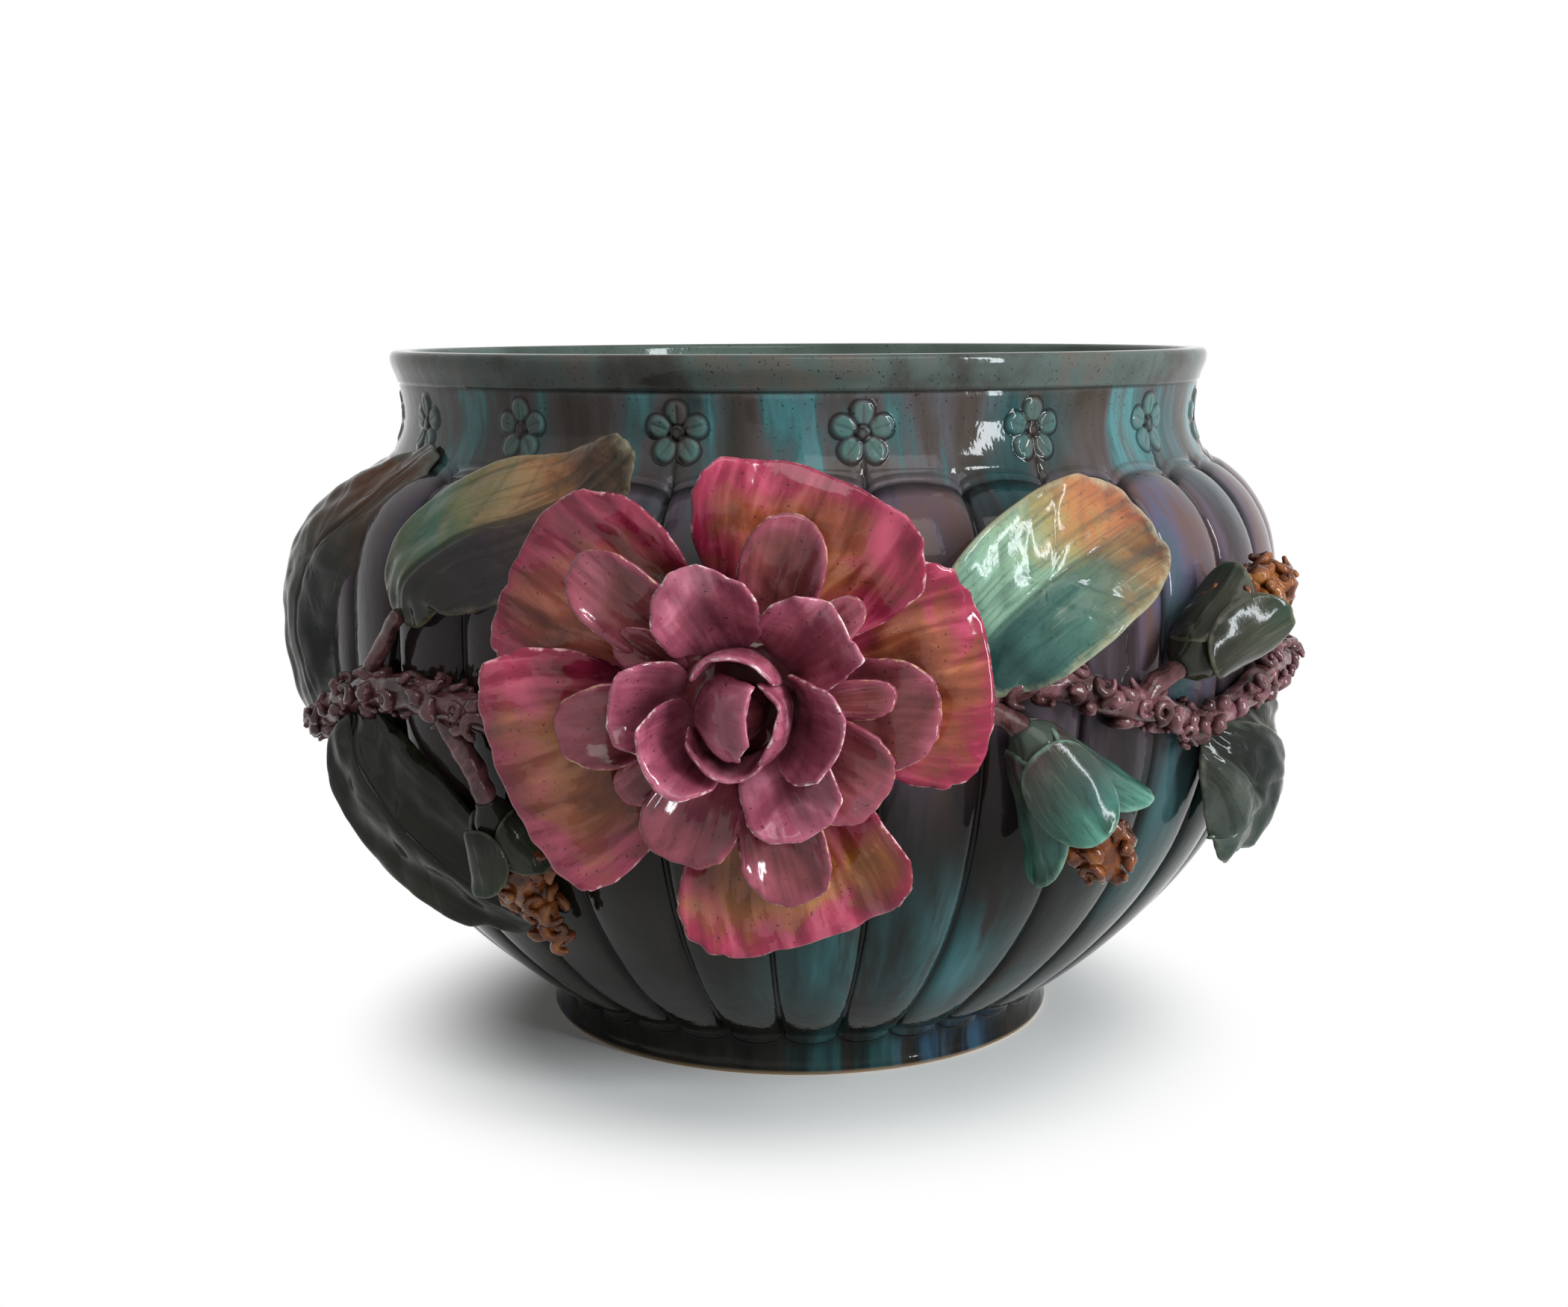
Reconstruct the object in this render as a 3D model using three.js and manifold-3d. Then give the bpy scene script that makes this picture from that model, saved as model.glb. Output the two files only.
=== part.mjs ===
// Glazed earthenware jardiniere, 28 cm high, with a hand-modelled camellia on its front.
//
// The bowl is moulded: a turned foot, 32 upright lobes that end in scallops below and in arches
// above, a plain neck band and a rounded lip. Everything else is clay added by hand and fired on:
// a gnarled branch, a many-petalled flower, leaves and three buds.
//
// Frame: millimetres, +Z up, the flower looks along -Y, and +X is to the right of who faces it.
// A place on the bowl is an azimuth, counted from the front towards +X, a rise above its widest
// part, and a stand-off from the wall. Angles are in degrees.

import * as THREE from 'three';
import { mergeVertices } from 'three/addons/utils/BufferGeometryUtils.js';
import Module from 'manifold-3d';

const wasm = await Module();
wasm.setup();

// ---------------------------------------------------------------- driving dimensions

// Bowl, outside: the height of each stage, from the foot up, and the radius that it ends with
const footHeight = 15;
const bellyRise = 162;
const shoulderRise = 51;
const coveRise = 9;
const bandRise = 20;
const flareRise = 12.5;
const lipHeight = 13;
const footRadius = 108.5;
const bellyRadius = 201;
const shoulderRadius = 180;
const coveRadius = 169.5;
const neckRadius = 165.3;
const rimRadius = 170.5;
const lipStep = 1.6;
const lipRound = 2.5;

// Bowl, lobes
const lobeCount = 32;
const lobeTurn = 7.75;
const grooveDepth = 4;
const archRise = 6;
const scallopDrop = 3.5;
const ledge = 2;
const lobeEndLength = 11;
const lobeEndDrop = 3;

// Bowl, inside and underside
const wallThickness = 9;
const lipThickness = 7;
const floorThickness = 10;
const floorRound = 20;
const footRecess = 5;
const footRingWidth = 14;
const recessBevel = 4;

// Flower: the pad that carries its petals, and the closed heart in its middle
const flowerAzimuth = -4.8;
const flowerRise = -6;
const padRadius = 31;
const padFlank = 6;
const padDepth = 6;
const padStand = 32;
const heartRadius = 12.5;
const heartHeight = 20;
const heartSeat = 5;

// Clay added by hand
const petalThickness = 3.4;
const innerThickness = 2.8;
const leafThickness = 3.6;
const twigRadius = 4.2;
const nubRadius = 3.6;
const unevenness = 0.1;
const sepalRoot = 8.5;
const sepalStand = 2;
const joinGap = 0.3;

// ---------------------------------------------------------------- small helpers

const radians = THREE.MathUtils.degToRad;
const vec = (x, y, z) => new THREE.Vector3(x, y, z);
const mix = (a, b, t) => a + (b - a) * t;

// Blends smoothly through values at equal steps of t from 0 to 1.
function eased(values, t) {
  const spot = THREE.MathUtils.clamp(t, 0, 1) * (values.length - 1);
  const index = Math.min(Math.floor(spot), values.length - 2);
  const part = spot - index;
  return mix(values[index], values[index + 1], part * part * (3 - 2 * part));
}

// ---------------------------------------------------------------- form of the bowl

const bellyHeight = footHeight + bellyRise;
const shoulderTop = bellyHeight + shoulderRise;
const bandFoot = shoulderTop + coveRise;
const neckHeight = bandFoot + bandRise;
const lipFoot = neckHeight + flareRise;
const bowlHeight = lipFoot + lipHeight;
const lobeFoot = footRadius + ledge;

// Smooth outside of the bowl, without lobes.
function wallRadius(height) {
  if (height <= footHeight) return footRadius;
  if (height <= bellyHeight) {
    return mix(bellyRadius, lobeFoot, (1 - (height - footHeight) / bellyRise) ** 2.5);
  }
  if (height <= shoulderTop) {
    return mix(bellyRadius, shoulderRadius, ((height - bellyHeight) / shoulderRise) ** 2.2);
  }
  if (height <= bandFoot) return mix(shoulderRadius, coveRadius, (height - shoulderTop) / coveRise);
  if (height <= neckHeight) {
    return mix(neckRadius, coveRadius, (1 - (height - bandFoot) / bandRise) ** 2);
  }
  const t = Math.min(1, (height - neckHeight) / (flareRise + lipHeight));
  return mix(neckRadius, rimRadius, t ** 1.5);
}

// How far round its lobe a direction lies: 0 in the groove, 1 on the crown.
function lobeCrown(azimuth) {
  const turns = ((azimuth - lobeTurn) * lobeCount) / 360;
  const offCentre = Math.abs(turns - Math.floor(turns) - 0.5) * 2;
  return Math.sqrt(1 - offCentre ** 2);
}

function outward(azimuth) {
  const turn = radians(azimuth);
  return vec(Math.sin(turn), -Math.cos(turn), 0);
}

function onBowl(azimuth, rise, stand = 0) {
  const height = bellyHeight + rise;
  return outward(azimuth).multiplyScalar(wallRadius(height) + stand).setZ(height);
}

// Smooth curve through places on the bowl.
const route = (places) => new THREE.CatmullRomCurve3(places.map((spot) => onBowl(...spot)));

// The way out of the wall at a place, square to its slope.
function wallNormal(azimuth, height) {
  const reach = 3;
  const slope = (wallRadius(height + reach) - wallRadius(height - reach)) / (2 * reach);
  return outward(azimuth).setZ(-slope).normalize();
}

// ---------------------------------------------------------------- solids

function toSolid(geometry) {
  const bare = geometry.index ? geometry.clone() : geometry;
  bare.deleteAttribute('normal');
  bare.deleteAttribute('uv');
  const merged = mergeVertices(bare, 1e-4);
  return new wasm.Manifold(new wasm.Mesh({
    numProp: 3,
    vertProperties: Float32Array.from(merged.attributes.position.array),
    triVerts: Uint32Array.from(merged.index.array),
  }));
}

function toGeometry(solid) {
  const mesh = solid.getMesh();
  const geometry = new THREE.BufferGeometry();
  geometry.setAttribute('position', new THREE.BufferAttribute(mesh.vertProperties, mesh.numProp));
  geometry.setIndex(new THREE.BufferAttribute(mesh.triVerts, 1));
  geometry.computeVertexNormals();
  return geometry;
}

// Closed skin over rings of equal length, each end shut by a point.
function loft(rings, start, end) {
  const positions = [start, ...rings.flat(), end].flatMap((p) => [p.x, p.y, p.z]);
  const count = rings[0].length;
  const at = (ring, step) => 1 + ring * count + (step % count);
  const last = 1 + rings.length * count;
  const index = [];
  for (let step = 0; step < count; step += 1) {
    index.push(0, at(0, step + 1), at(0, step));
    for (let ring = 0; ring < rings.length - 1; ring += 1) {
      index.push(at(ring, step), at(ring, step + 1), at(ring + 1, step + 1));
      index.push(at(ring, step), at(ring + 1, step + 1), at(ring + 1, step));
    }
    index.push(at(rings.length - 1, step), at(rings.length - 1, step + 1), last);
  }
  const geometry = new THREE.BufferGeometry();
  geometry.setAttribute('position', new THREE.Float32BufferAttribute(positions, 3));
  geometry.setIndex(index);
  return geometry;
}

function turned(profile, sides) {
  const points = profile.map(([radius, height]) => new THREE.Vector2(radius, height));
  return new THREE.LatheGeometry(points, sides).rotateX(Math.PI / 2);
}

function largest(solid) {
  const bodies = solid.decompose();
  return bodies.reduce((best, body) => (body.volume() > best.volume() ? body : best));
}

// ---------------------------------------------------------------- bowl

function bowlSolid(grow = 0) {
  const columns = lobeCount * 3;
  const lobed = [0.06, 0.2, 0.42, 0.7, 1].map((t) => mix(footHeight, bellyHeight, t));
  lobed.push(mix(bellyHeight, shoulderTop, 0.4));
  const scallop = (crown) => footHeight + ledge - scallopDrop * crown;
  const arch = (crown) => shoulderTop - archRise * (1 - crown);

  // Upper end of a lobe, which rounds over towards its arch, and the cove above the arch. `t` is the
  // share of the way through each.
  const lobeEnd = (crown, t) => {
    const height = arch(crown) - lobeEndLength * (1 - t);
    const drop = lobeEndDrop * (1 - Math.sqrt(1 - t ** 2));
    return [wallRadius(height) - grooveDepth * (1 - crown) - drop, height];
  };
  const cove = (crown, t) => {
    const [radius, height] = lobeEnd(crown, 1);
    return [mix(coveRadius, radius, (1 - t) ** 1.5), mix(height, bandFoot, t)];
  };

  // Each row gives a radius and a height for a direction, from 0 in a groove to 1 on a lobe's crown.
  const rows = [
    () => [footRadius, 0],
    (crown) => [footRadius, scallop(crown)],
    (crown) => [footRadius + ledge * 2 * crown, scallop(crown) + ledge],
    ...lobed.map((height) => (crown) => [wallRadius(height) - grooveDepth * (1 - crown), height]),
    ...[0, 0.75, 1].map((t) => (crown) => lobeEnd(crown, t)),
    ...[0.35, 1].map((t) => (crown) => cove(crown, t)),
    ...[0.5, 1].map((t) => () => [wallRadius(bandFoot + bandRise * t), bandFoot + bandRise * t]),
    () => [wallRadius(lipFoot), lipFoot - lipStep],
    () => [wallRadius(lipFoot) + lipStep, lipFoot],
    () => [rimRadius, bowlHeight - lipRound],
    () => [rimRadius - lipRound, bowlHeight],
  ];
  const rings = rows.map((row) => {
    const ring = [];
    for (let column = 0; column < columns; column += 1) {
      const azimuth = lobeTurn + (column * 360) / columns;
      const [radius, height] = row(lobeCrown(azimuth));
      ring.push(outward(azimuth).multiplyScalar(radius + grow).setZ(height));
    }
    return ring;
  });
  return toSolid(loft(rings, vec(0, 0, 0), vec(0, 0, bowlHeight)));
}

// Inside of the bowl, from a rounded floor to past the lip. The wall is measured from the middle of
// a groove's depth.
function hollowSolid() {
  const floorTop = footRecess + floorThickness;
  const inner = (height) => wallRadius(height) - grooveDepth / 2 - wallThickness;
  const lined = [0.12, 0.27, 0.45, 0.7, 1].map((t) => mix(footHeight, bellyHeight, t));
  lined.push(mix(bellyHeight, shoulderTop, 0.5));
  const mouth = rimRadius - lipThickness;
  const past = bowlHeight + lipRound;
  return toSolid(turned([
    [0, floorTop],
    [inner(footHeight) - floorRound, floorTop],
    [inner(footHeight) - floorRound * 0.2, floorTop + floorRound * 0.4],
    ...lined.map((height) => [inner(height), height]),
    [inner(shoulderTop), shoulderTop],
    [coveRadius - wallThickness, bandFoot],
    [neckRadius - wallThickness, neckHeight],
    [mouth - lipRound, bowlHeight - lipRound],
    [mouth, bowlHeight],
    [mouth, past],
    [0, past],
  ], lobeCount));
}

function recessSolid() {
  const edge = footRadius - footRingWidth;
  return toSolid(turned([
    [0, -footRecess], [edge, -footRecess], [edge, 0], [edge - recessBevel, footRecess], [0, footRecess],
  ], lobeCount));
}

// ---------------------------------------------------------------- thin modelled clay

// A blade of clay is rolled out flat and then bent. `spine(t)` gives the place, the way across and
// the upper face's normal at a share t of its length. The outline is an egg, narrowed at the root by
// `narrow` and drawn to a point by `tip`, and `square` sets how full its corners are. `cup` bends its
// sides up, in degrees at half its width, and a fold tilts one whole side. Both faces meet in the
// rim, so the edge is thin.
function blade(spine, shape, grow = 0) {
  const { length, width, thickness, steps, rings, cup } = shape;
  const { narrow = 0.45, square = 2.3, tip = 0, ruffle = 0, foldRight = 0 } = shape;
  const bend = radians(cup) / (width / 2);
  const widest = 1 - narrow * 0.3;
  const power = (value) => Math.sign(value) * Math.abs(value) ** (2 / square);
  const turnOf = (step) => (step / steps) * Math.PI * 2;

  const outline = (step) => {
    const along = 0.5 + (0.5 + grow / length) * power(-Math.cos(turnOf(step)));
    const point = 1 - tip * Math.max(0, along * 2 - 1) ** 1.5;
    const taper = ((1 - narrow * Math.max(0, 1 - along) ** 1.4) / widest) * point;
    return [along, power(Math.sin(turnOf(step))) * (width / 2 + grow) * taper];
  };

  // Place of a point after bending; `ring` is its share of the way from the middle to the rim, and
  // `side` is 1 on the upper face, -1 on the lower and 0 on the rim.
  const bent = (along, across, ring, step, side) => {
    const frame = spine(along);
    const way = Math.sign(across);
    const tilt = across > 0 ? radians(foldRight) : 0;
    const angle = tilt + bend * Math.abs(across);
    const out = (Math.sin(angle) - Math.sin(tilt)) / bend;
    const lift = (Math.cos(tilt) - Math.cos(angle)) / bend;
    const half = (thickness / 2 + grow) * side;
    const ripple = ruffle * ring ** 2 * Math.sin(turnOf(step) * 3);
    return frame.place.clone()
      .addScaledVector(frame.across, way * (out - Math.sin(angle) * half))
      .addScaledVector(frame.normal, lift + Math.cos(angle) * half + ripple);
  };

  const row = (ring, side) => {
    const points = [];
    for (let step = 0; step < steps; step += 1) {
      const [along, across] = outline(step);
      points.push(bent(mix(0.5, along, ring), across * ring, ring, step, side));
    }
    return points;
  };
  const lower = rings.map((ring) => row(ring, -1));
  const upper = rings.map((ring) => row(ring, 1)).reverse();
  const middle = (side) => bent(0.5, 0, 0, 0, side);
  return toSolid(loft([...lower, row(1, 0), ...upper], middle(-1), middle(1)));
}

// Turns a frame's ways across and out about its spine.
function rolled(place, across, normal, turn) {
  return {
    place,
    across: across.clone().multiplyScalar(Math.cos(turn)).addScaledVector(normal, Math.sin(turn)),
    normal: normal.clone().multiplyScalar(Math.cos(turn)).addScaledVector(across, -Math.sin(turn)),
  };
}

// Spine that leaves a centre: `clock` is its way round the axis, clockwise from up, `root` and
// `stand` are where it starts, `rise` is its slope out of the plane there, `curl` how much steeper it
// gets to the tip, and `lean` its turn about itself.
function petalSpine(frame, shape) {
  const clock = radians(shape.clock);
  const away = frame.up.clone().multiplyScalar(Math.cos(clock))
    .addScaledVector(frame.right, Math.sin(clock));
  const across = frame.up.clone().multiplyScalar(-Math.sin(clock))
    .addScaledVector(frame.right, Math.cos(clock));
  const root = frame.place.clone().addScaledVector(away, shape.root)
    .addScaledVector(frame.out, shape.stand);
  const slope = (t) => radians(shape.rise + shape.curl * t);
  const pieces = 12;
  return (along) => {
    const place = root.clone();
    for (let piece = 0; piece < pieces; piece += 1) {
      const t = ((piece + 0.5) / pieces) * along;
      const step = (shape.length * along) / pieces;
      place.addScaledVector(away, Math.cos(slope(t)) * step);
      place.addScaledVector(frame.out, Math.sin(slope(t)) * step);
    }
    const normal = frame.out.clone().multiplyScalar(Math.cos(slope(along)))
      .addScaledVector(away, -Math.sin(slope(along)));
    return rolled(place, across, normal, radians(shape.lean));
  };
}

// Spine laid over the bowl through places on it. `roll` turns the upper face about the spine, away
// from the wall's own way out, which is taken no higher than on the shoulder's upright part.
function wallSpine(places, roll = [0, 0]) {
  const curve = route(places);
  return (along) => {
    const t = THREE.MathUtils.clamp(along, 0, 1);
    const way = curve.getTangent(t);
    const place = curve.getPoint(t).addScaledVector(way, (along - t) * curve.getLength());
    const azimuth = THREE.MathUtils.radToDeg(Math.atan2(place.x, -place.y));
    const out = wallNormal(azimuth, Math.min(place.z, bellyHeight + shoulderRise * 0.7));
    const across = way.clone().cross(out).normalize();
    const normal = across.clone().cross(way).normalize();
    return rolled(place, across, normal, radians(eased(roll, t)));
  };
}

// ---------------------------------------------------------------- stems, bark and curls

// Moves a point that would sink into the bowl out to its wall, as soft clay flattens where it is
// pressed on.
function seated(point, grow) {
  const clear = wallRadius(point.z) + 2 * joinGap - grow;
  const scale = Math.max(1, clear / Math.hypot(point.x, point.y));
  return vec(point.x * scale, point.y * scale, point.z);
}

// Rope of clay along places on the bowl, thick as `radii` say from end to end, a little uneven.
function stem(places, radii, sides, steps, grow = 0) {
  const curve = route(places);
  const rings = [];
  for (let step = 0; step <= steps; step += 1) {
    const t = step / steps;
    const centre = curve.getPoint(t);
    const way = curve.getTangent(t);
    const across = way.clone().cross(centre.clone().setZ(0)).normalize();
    const over = across.clone().cross(way);
    const ring = [];
    for (let side = 0; side < sides; side += 1) {
      const turn = (side / sides) * Math.PI * 2;
      const uneven = 1 + unevenness * Math.sin(step * 2.1 + side * 1.7);
      const radius = eased(radii, t) * uneven + grow;
      const point = centre.clone().addScaledVector(over, Math.cos(turn) * radius)
        .addScaledVector(across, Math.sin(turn) * radius);
      ring.push(seated(point, grow));
    }
    rings.push(ring);
  }
  const start = curve.getPoint(0).addScaledVector(curve.getTangent(0), -grow);
  const end = curve.getPoint(1).addScaledVector(curve.getTangent(1), grow);
  return toSolid(loft(rings, start, end));
}

// Frame of a bud, flower or curl: where it sits, which way it opens and which way its clock starts.
function opening(place, out, hint = vec(0, 0, 1)) {
  const right = hint.clone().cross(out).normalize();
  return { place, out, right, up: out.clone().cross(right).normalize() };
}

// Round body turned about a frame's axis, from a profile of radius and height along that axis.
function turnedOn(frame, profile, sides) {
  const basis = new THREE.Matrix4().makeBasis(frame.right, frame.up, frame.out);
  basis.setPosition(frame.place);
  return toSolid(turned(profile, sides).applyMatrix4(basis));
}

// Small curl of clay, as a bead that looks along `out`.
function curl(spot, out, grow) {
  const size = nubRadius + grow;
  const anyWay = vec(0.3, 0.5, 0.8);
  const profile = [[0, -1], [1, 0.1], [0, 0.9]];
  return turnedOn(
    opening(spot, out, anyWay),
    profile.map(([radius, height]) => [radius * size, height * size]),
    5,
  );
}

// Branch: a rope of clay with curls pressed on along its sides that face away from the wall.
function bark(places, radii, steps, curls, grow = 0) {
  const curve = route(places);
  const leans = [-55, 35, -15, 60];
  let solid = stem(places, radii, 7, steps, grow);
  for (let index = 0; index < curls; index += 1) {
    const t = (index + 0.5) / curls;
    const out = curve.getPoint(t).setZ(0).normalize();
    out.applyAxisAngle(curve.getTangent(t), radians(leans[index % leans.length]));
    const spot = curve.getPoint(t).addScaledVector(out, eased(radii, t));
    solid = solid.add(curl(spot, out, grow));
  }
  return solid;
}

// ---------------------------------------------------------------- glaze colours

const glaze = (colour, roughness = 0.12) => new THREE.MeshStandardMaterial({
  color: colour,
  roughness,
  metalness: 0,
});
const glazes = {
  bowl: glaze(0x43463f),
  crimson: glaze(0xa3324f),
  mauve: glaze(0x8c4f62),
  rose: glaze(0xa5667c),
  bark: glaze(0x5c3b3c, 0.3),
  leaf: glaze(0x56675a),
  mint: glaze(0x7fa08b),
  olive: glaze(0x3b4136),
  amber: glaze(0x94562f, 0.25),
};

// ---------------------------------------------------------------- pieces

const jardiniere = new THREE.Group();
const cutters = [];

// Adds a solid as a mesh, and keeps `grown`, the slightly larger form that later pieces stay clear of.
function addSolid(name, material, solid, grown) {
  cutters.push({ solid: grown, box: grown.boundingBox() });
  const mesh = new THREE.Mesh(toGeometry(solid), material);
  mesh.name = name;
  jardiniere.add(mesh);
}

// Presses a piece onto what is there already: it is cut back to a hair's gap from each neighbour.
// `form(grow)` makes the piece, grown on all sides.
function press(name, material, form) {
  let solid = form(0);
  const box = solid.boundingBox();
  const near = cutters.filter((cutter) => cutter.box.min.every((low, axis) => (
    low < box.max[axis] && cutter.box.max[axis] > box.min[axis])));
  for (const cutter of near) {
    solid = solid.subtract(cutter.solid);
  }
  addSolid(name, material, largest(solid), form(joinGap));
}

addSolid(
  'bowl',
  glazes.bowl,
  bowlSolid().subtract(hollowSolid()).subtract(recessSolid()),
  bowlSolid(joinGap),
);

const flower = opening(onBowl(flowerAzimuth, flowerRise), outward(flowerAzimuth));

// Domed pad of clay under the flower.
press('flower_pad', glazes.mauve, (grow) => turnedOn(flower, [
  [0, -padDepth],
  [padRadius + grow, -padDepth],
  ...[0, 30, 45, 60, 75].map((slope) => [
    padRadius * Math.cos(radians(slope)) + grow,
    padFlank + (padStand - padFlank) * Math.sin(radians(slope)) + grow,
  ]),
  [0, padStand + grow],
], 12));

// ---- Branch: two arms that come out from under the flower and end round the sides

press('branch_left', glazes.bark, (grow) => bark([
  [-12, -17, 5], [-24, -21, 5], [-31.7, -19, 5], [-42.7, -15.5, 5], [-49.7, -17.4, 5],
  [-58, -26, 5], [-67, -39, 5], [-80, -47, 4], [-90, -48, 3],
], [5, 6, 6, 5.5, 5, 3.5], 13, 13, grow));
press('branch_right', glazes.bark, (grow) => bark([
  [6, -11, 5], [13, -9, 5], [18.5, -6.6, 5], [24, -5.4, 5], [28.3, -9, 5],
  [33, -15, 5], [38.1, -19.7, 5], [45.5, -32, 5],
], [4, 5, 5.5, 5.5, 4.5], 10, 10, grow));
press('branch_tip', glazes.bark, (grow) => bark([
  [43, -28, 5], [51.7, -25, 5], [59.1, -17.6, 5], [71.5, -17, 5], [84, -25, 4], [94, -28, 3],
], [4.5, 5, 5, 3.2], 8, 7, grow));

// ---- Flower. Each row: name, clock, how far inside the pad's edge and below its top the petal
// ---- starts, then rise, curl, length, width, cup and lean.

function petals(material, form, rows) {
  for (const [name, clock, inset, drop, rise, bendOver, length, width, cup, lean] of rows) {
    const shape = {
      ...form, clock, root: padRadius - inset, stand: padStand - drop, rise, curl: bendOver,
      length, width, cup, lean,
    };
    press(name, material, (grow) => blade(petalSpine(flower, shape), shape, grow));
  }
}

petals(glazes.crimson, { thickness: petalThickness, steps: 18, rings: [0.5, 0.92], ruffle: 1.5 }, [
  ['petal_outer_lower_left', -109, 6, 13, 16, -24, 60, 86, 20, 6],
  ['petal_outer_top', 22, 6, 17, 16, -28, 55, 80, 20, 0],
  ['petal_outer_bottom', 164, 6, 17, 16, -22, 60, 79, 24, 0],
  ['petal_outer_upper_left', -54, 6, 22.5, 15, -17, 64, 76, 32, 10],
  ['petal_outer_right', 82, 6, 24.5, 11, -19, 57, 76, 16, 0],
]);
petals(glazes.mauve, { thickness: petalThickness, steps: 12, rings: [0.85], square: 2.2, narrow: 0.35 }, [
  ['petal_middle_top', 18, 9, 10, 31, -25, 47, 31, 50, 0],
  ['petal_middle_upper_left', -46, 9, 11, 30, -20, 52, 29, 50, 0],
  ['petal_middle_left', -97, 9, 10, 33, -25, 40, 31, 50, 0],
  ['petal_middle_bottom_left', 203, 9, 10, 33, -25, 35, 36, 50, 0],
  ['petal_middle_bottom', 162, 9, 12, 26, -20, 47, 33, 50, 0],
  ['petal_middle_lower_right', 120, 9, 9, 33, -28, 35, 36, 40, 0],
  ['petal_middle_right', 91, 9, 14, 24, -17, 45, 38, 30, 0],
  ['petal_small_right', 84, 9, 7, 31, -27, 31, 15, 50, 0],
  ['petal_small_upper_right', 48, 9, 9, 30, -25, 33, 16, 50, 0],
  ['petal_small_lower_left', -127, 9, 10, 23, -22, 29, 17, 40, 0],
  ['petal_small_upper_left', -58, 10, 7, 34, -25, 27, 16, 40, 0],
]);

// Closed bud of petals in the middle.
press('flower_heart', glazes.mauve, (grow) => turnedOn(flower, [
  [0, padStand - heartSeat],
  [heartRadius * 0.7 + grow, padStand - heartSeat],
  ...[[0.8, 0.2], [0.72, 0.6], [0.4, 0.9]].map(([radius, height]) => [
    heartRadius * radius + grow,
    padStand + heartHeight * height + grow,
  ]),
  [0, padStand + heartHeight + grow],
], 10));

petals(glazes.rose, { thickness: innerThickness, steps: 12, rings: [0.85], square: 2.8, narrow: 0.3 }, [
  ['petal_heart_left', -82, 19.5, 3, 80, 80, 41, 33, 60, 0],
  ['petal_heart_right', 95, 16, 3, 72, 40, 33, 33, 64, 0],
  ['petal_inner_top', 5, 14, 6, 72, 24, 34, 38, 76, 0],
  ['petal_inner_bottom', 192, 16, 6, 80, 4, 28, 38, 80, 0],
  ['petal_inner_right', 98, 14, 6, 64, -10, 38, 40, 60, 0],
  ['petal_inner_lower_left', 238, 16, 5, 62, -8, 33, 38, 60, 0],
  ['petal_rose_left', -86, 12, 8, 54, -14, 33, 36, 50, 0],
  ['petal_rose_top', -15, 12, 7.5, 48, -14, 41, 38, 44, 0],
  ['petal_rose_upper_right', 46, 12, 8, 46, -18, 37, 38, 44, 0],
  ['petal_rose_bottom_right', 146, 12, 9, 46, -24, 33, 38, 50, 0],
]);

// ---- Leaves

function leaf(name, material, places, form) {
  const shape = {
    thickness: leafThickness, steps: 16, rings: [0.5, 0.92], length: route(places).getLength(), ...form,
  };
  press(name, material, (grow) => blade(wallSpine(places, form.roll), shape, grow));
}

leaf('leaf_right', glazes.mint, [
  [14.5, -2, 6], [18, 15, 13], [22.6, 29, 19], [28.4, 40, 23], [36, 49, 24],
], { width: 52, cup: 16, narrow: 0.15 });
press('leaf_stalk_left', glazes.bark, (grow) => stem([
  [-51, -15, 6], [-48, -1, 5], [-44, 13, 7],
], [3.6, 3], 6, 5, grow));
leaf('leaf_upper_left', glazes.leaf, [
  [-44, 9, 5], [-41.5, 27, 14], [-36, 41, 18], [-28, 51, 22], [-22.5, 59, 26], [-17, 76, 30],
], { width: 52, cup: -8, foldRight: -32, narrow: 0.2, tip: 0.3 });
leaf('leaf_far_left', glazes.leaf, [
  [-67.5, -37, 6], [-73, -5, 16], [-68, 27, 15], [-61, 47, 9], [-54, 70, 3],
], { width: 50, cup: -36, narrow: 0.2, tip: 0.5 });
leaf('leaf_lower_left', glazes.olive, [
  [-54, -26, 7], [-51, -43, 12], [-45, -64, 14], [-38, -83, 12], [-31, -100, 7],
], { width: 50, cup: -24, narrow: 0.25, tip: 0.3, roll: [28, 28, 20] });
leaf('leaf_right_lower', glazes.leaf, [
  [46, -36, 6], [50, -47, 15], [55, -64, 21], [57, -85, 21],
], { width: 50, cup: -26, square: 3, narrow: 0.6 });
leaf('leaf_right_rear', glazes.olive, [
  [53, -30, 4], [58, -38, 7], [63, -48, 9], [67, -63, 9],
], { width: 36, cup: -30, tip: 0.3 });

// ---- Buds: a stalk, a cup of clay, three sepals round it and a head of curled stamens. The profile
// ---- of the cup, and the head's start, end and two radii, are measured from the end of the stalk.

function stamenHead(frame, form, grow) {
  const [start, end, thick, thin] = form.head;
  const seat = form.cup.at(-1)[1] - 1;
  const goldenAngle = 137.5;
  const curls = 8;
  let solid = turnedOn(frame, [
    [0, seat - grow],
    [thick * 0.5 + grow, seat - grow],
    [thick * 0.8 + grow, start + nubRadius],
    [thin * 0.6 + grow, end - nubRadius],
    [0, end + grow],
  ], 8);
  for (let index = 0; index < curls; index += 1) {
    const t = (index + 0.5) / curls;
    const turn = radians(index * goldenAngle);
    const out = frame.right.clone().multiplyScalar(Math.cos(turn))
      .addScaledVector(frame.up, Math.sin(turn)).addScaledVector(frame.out, t).normalize();
    const spot = frame.place.clone()
      .addScaledVector(frame.out, mix(start + nubRadius, end - nubRadius, t))
      .addScaledVector(out, mix(thick, thin, t) - nubRadius * 0.4);
    solid = solid.add(curl(spot, out, grow));
  }
  return solid;
}

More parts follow.
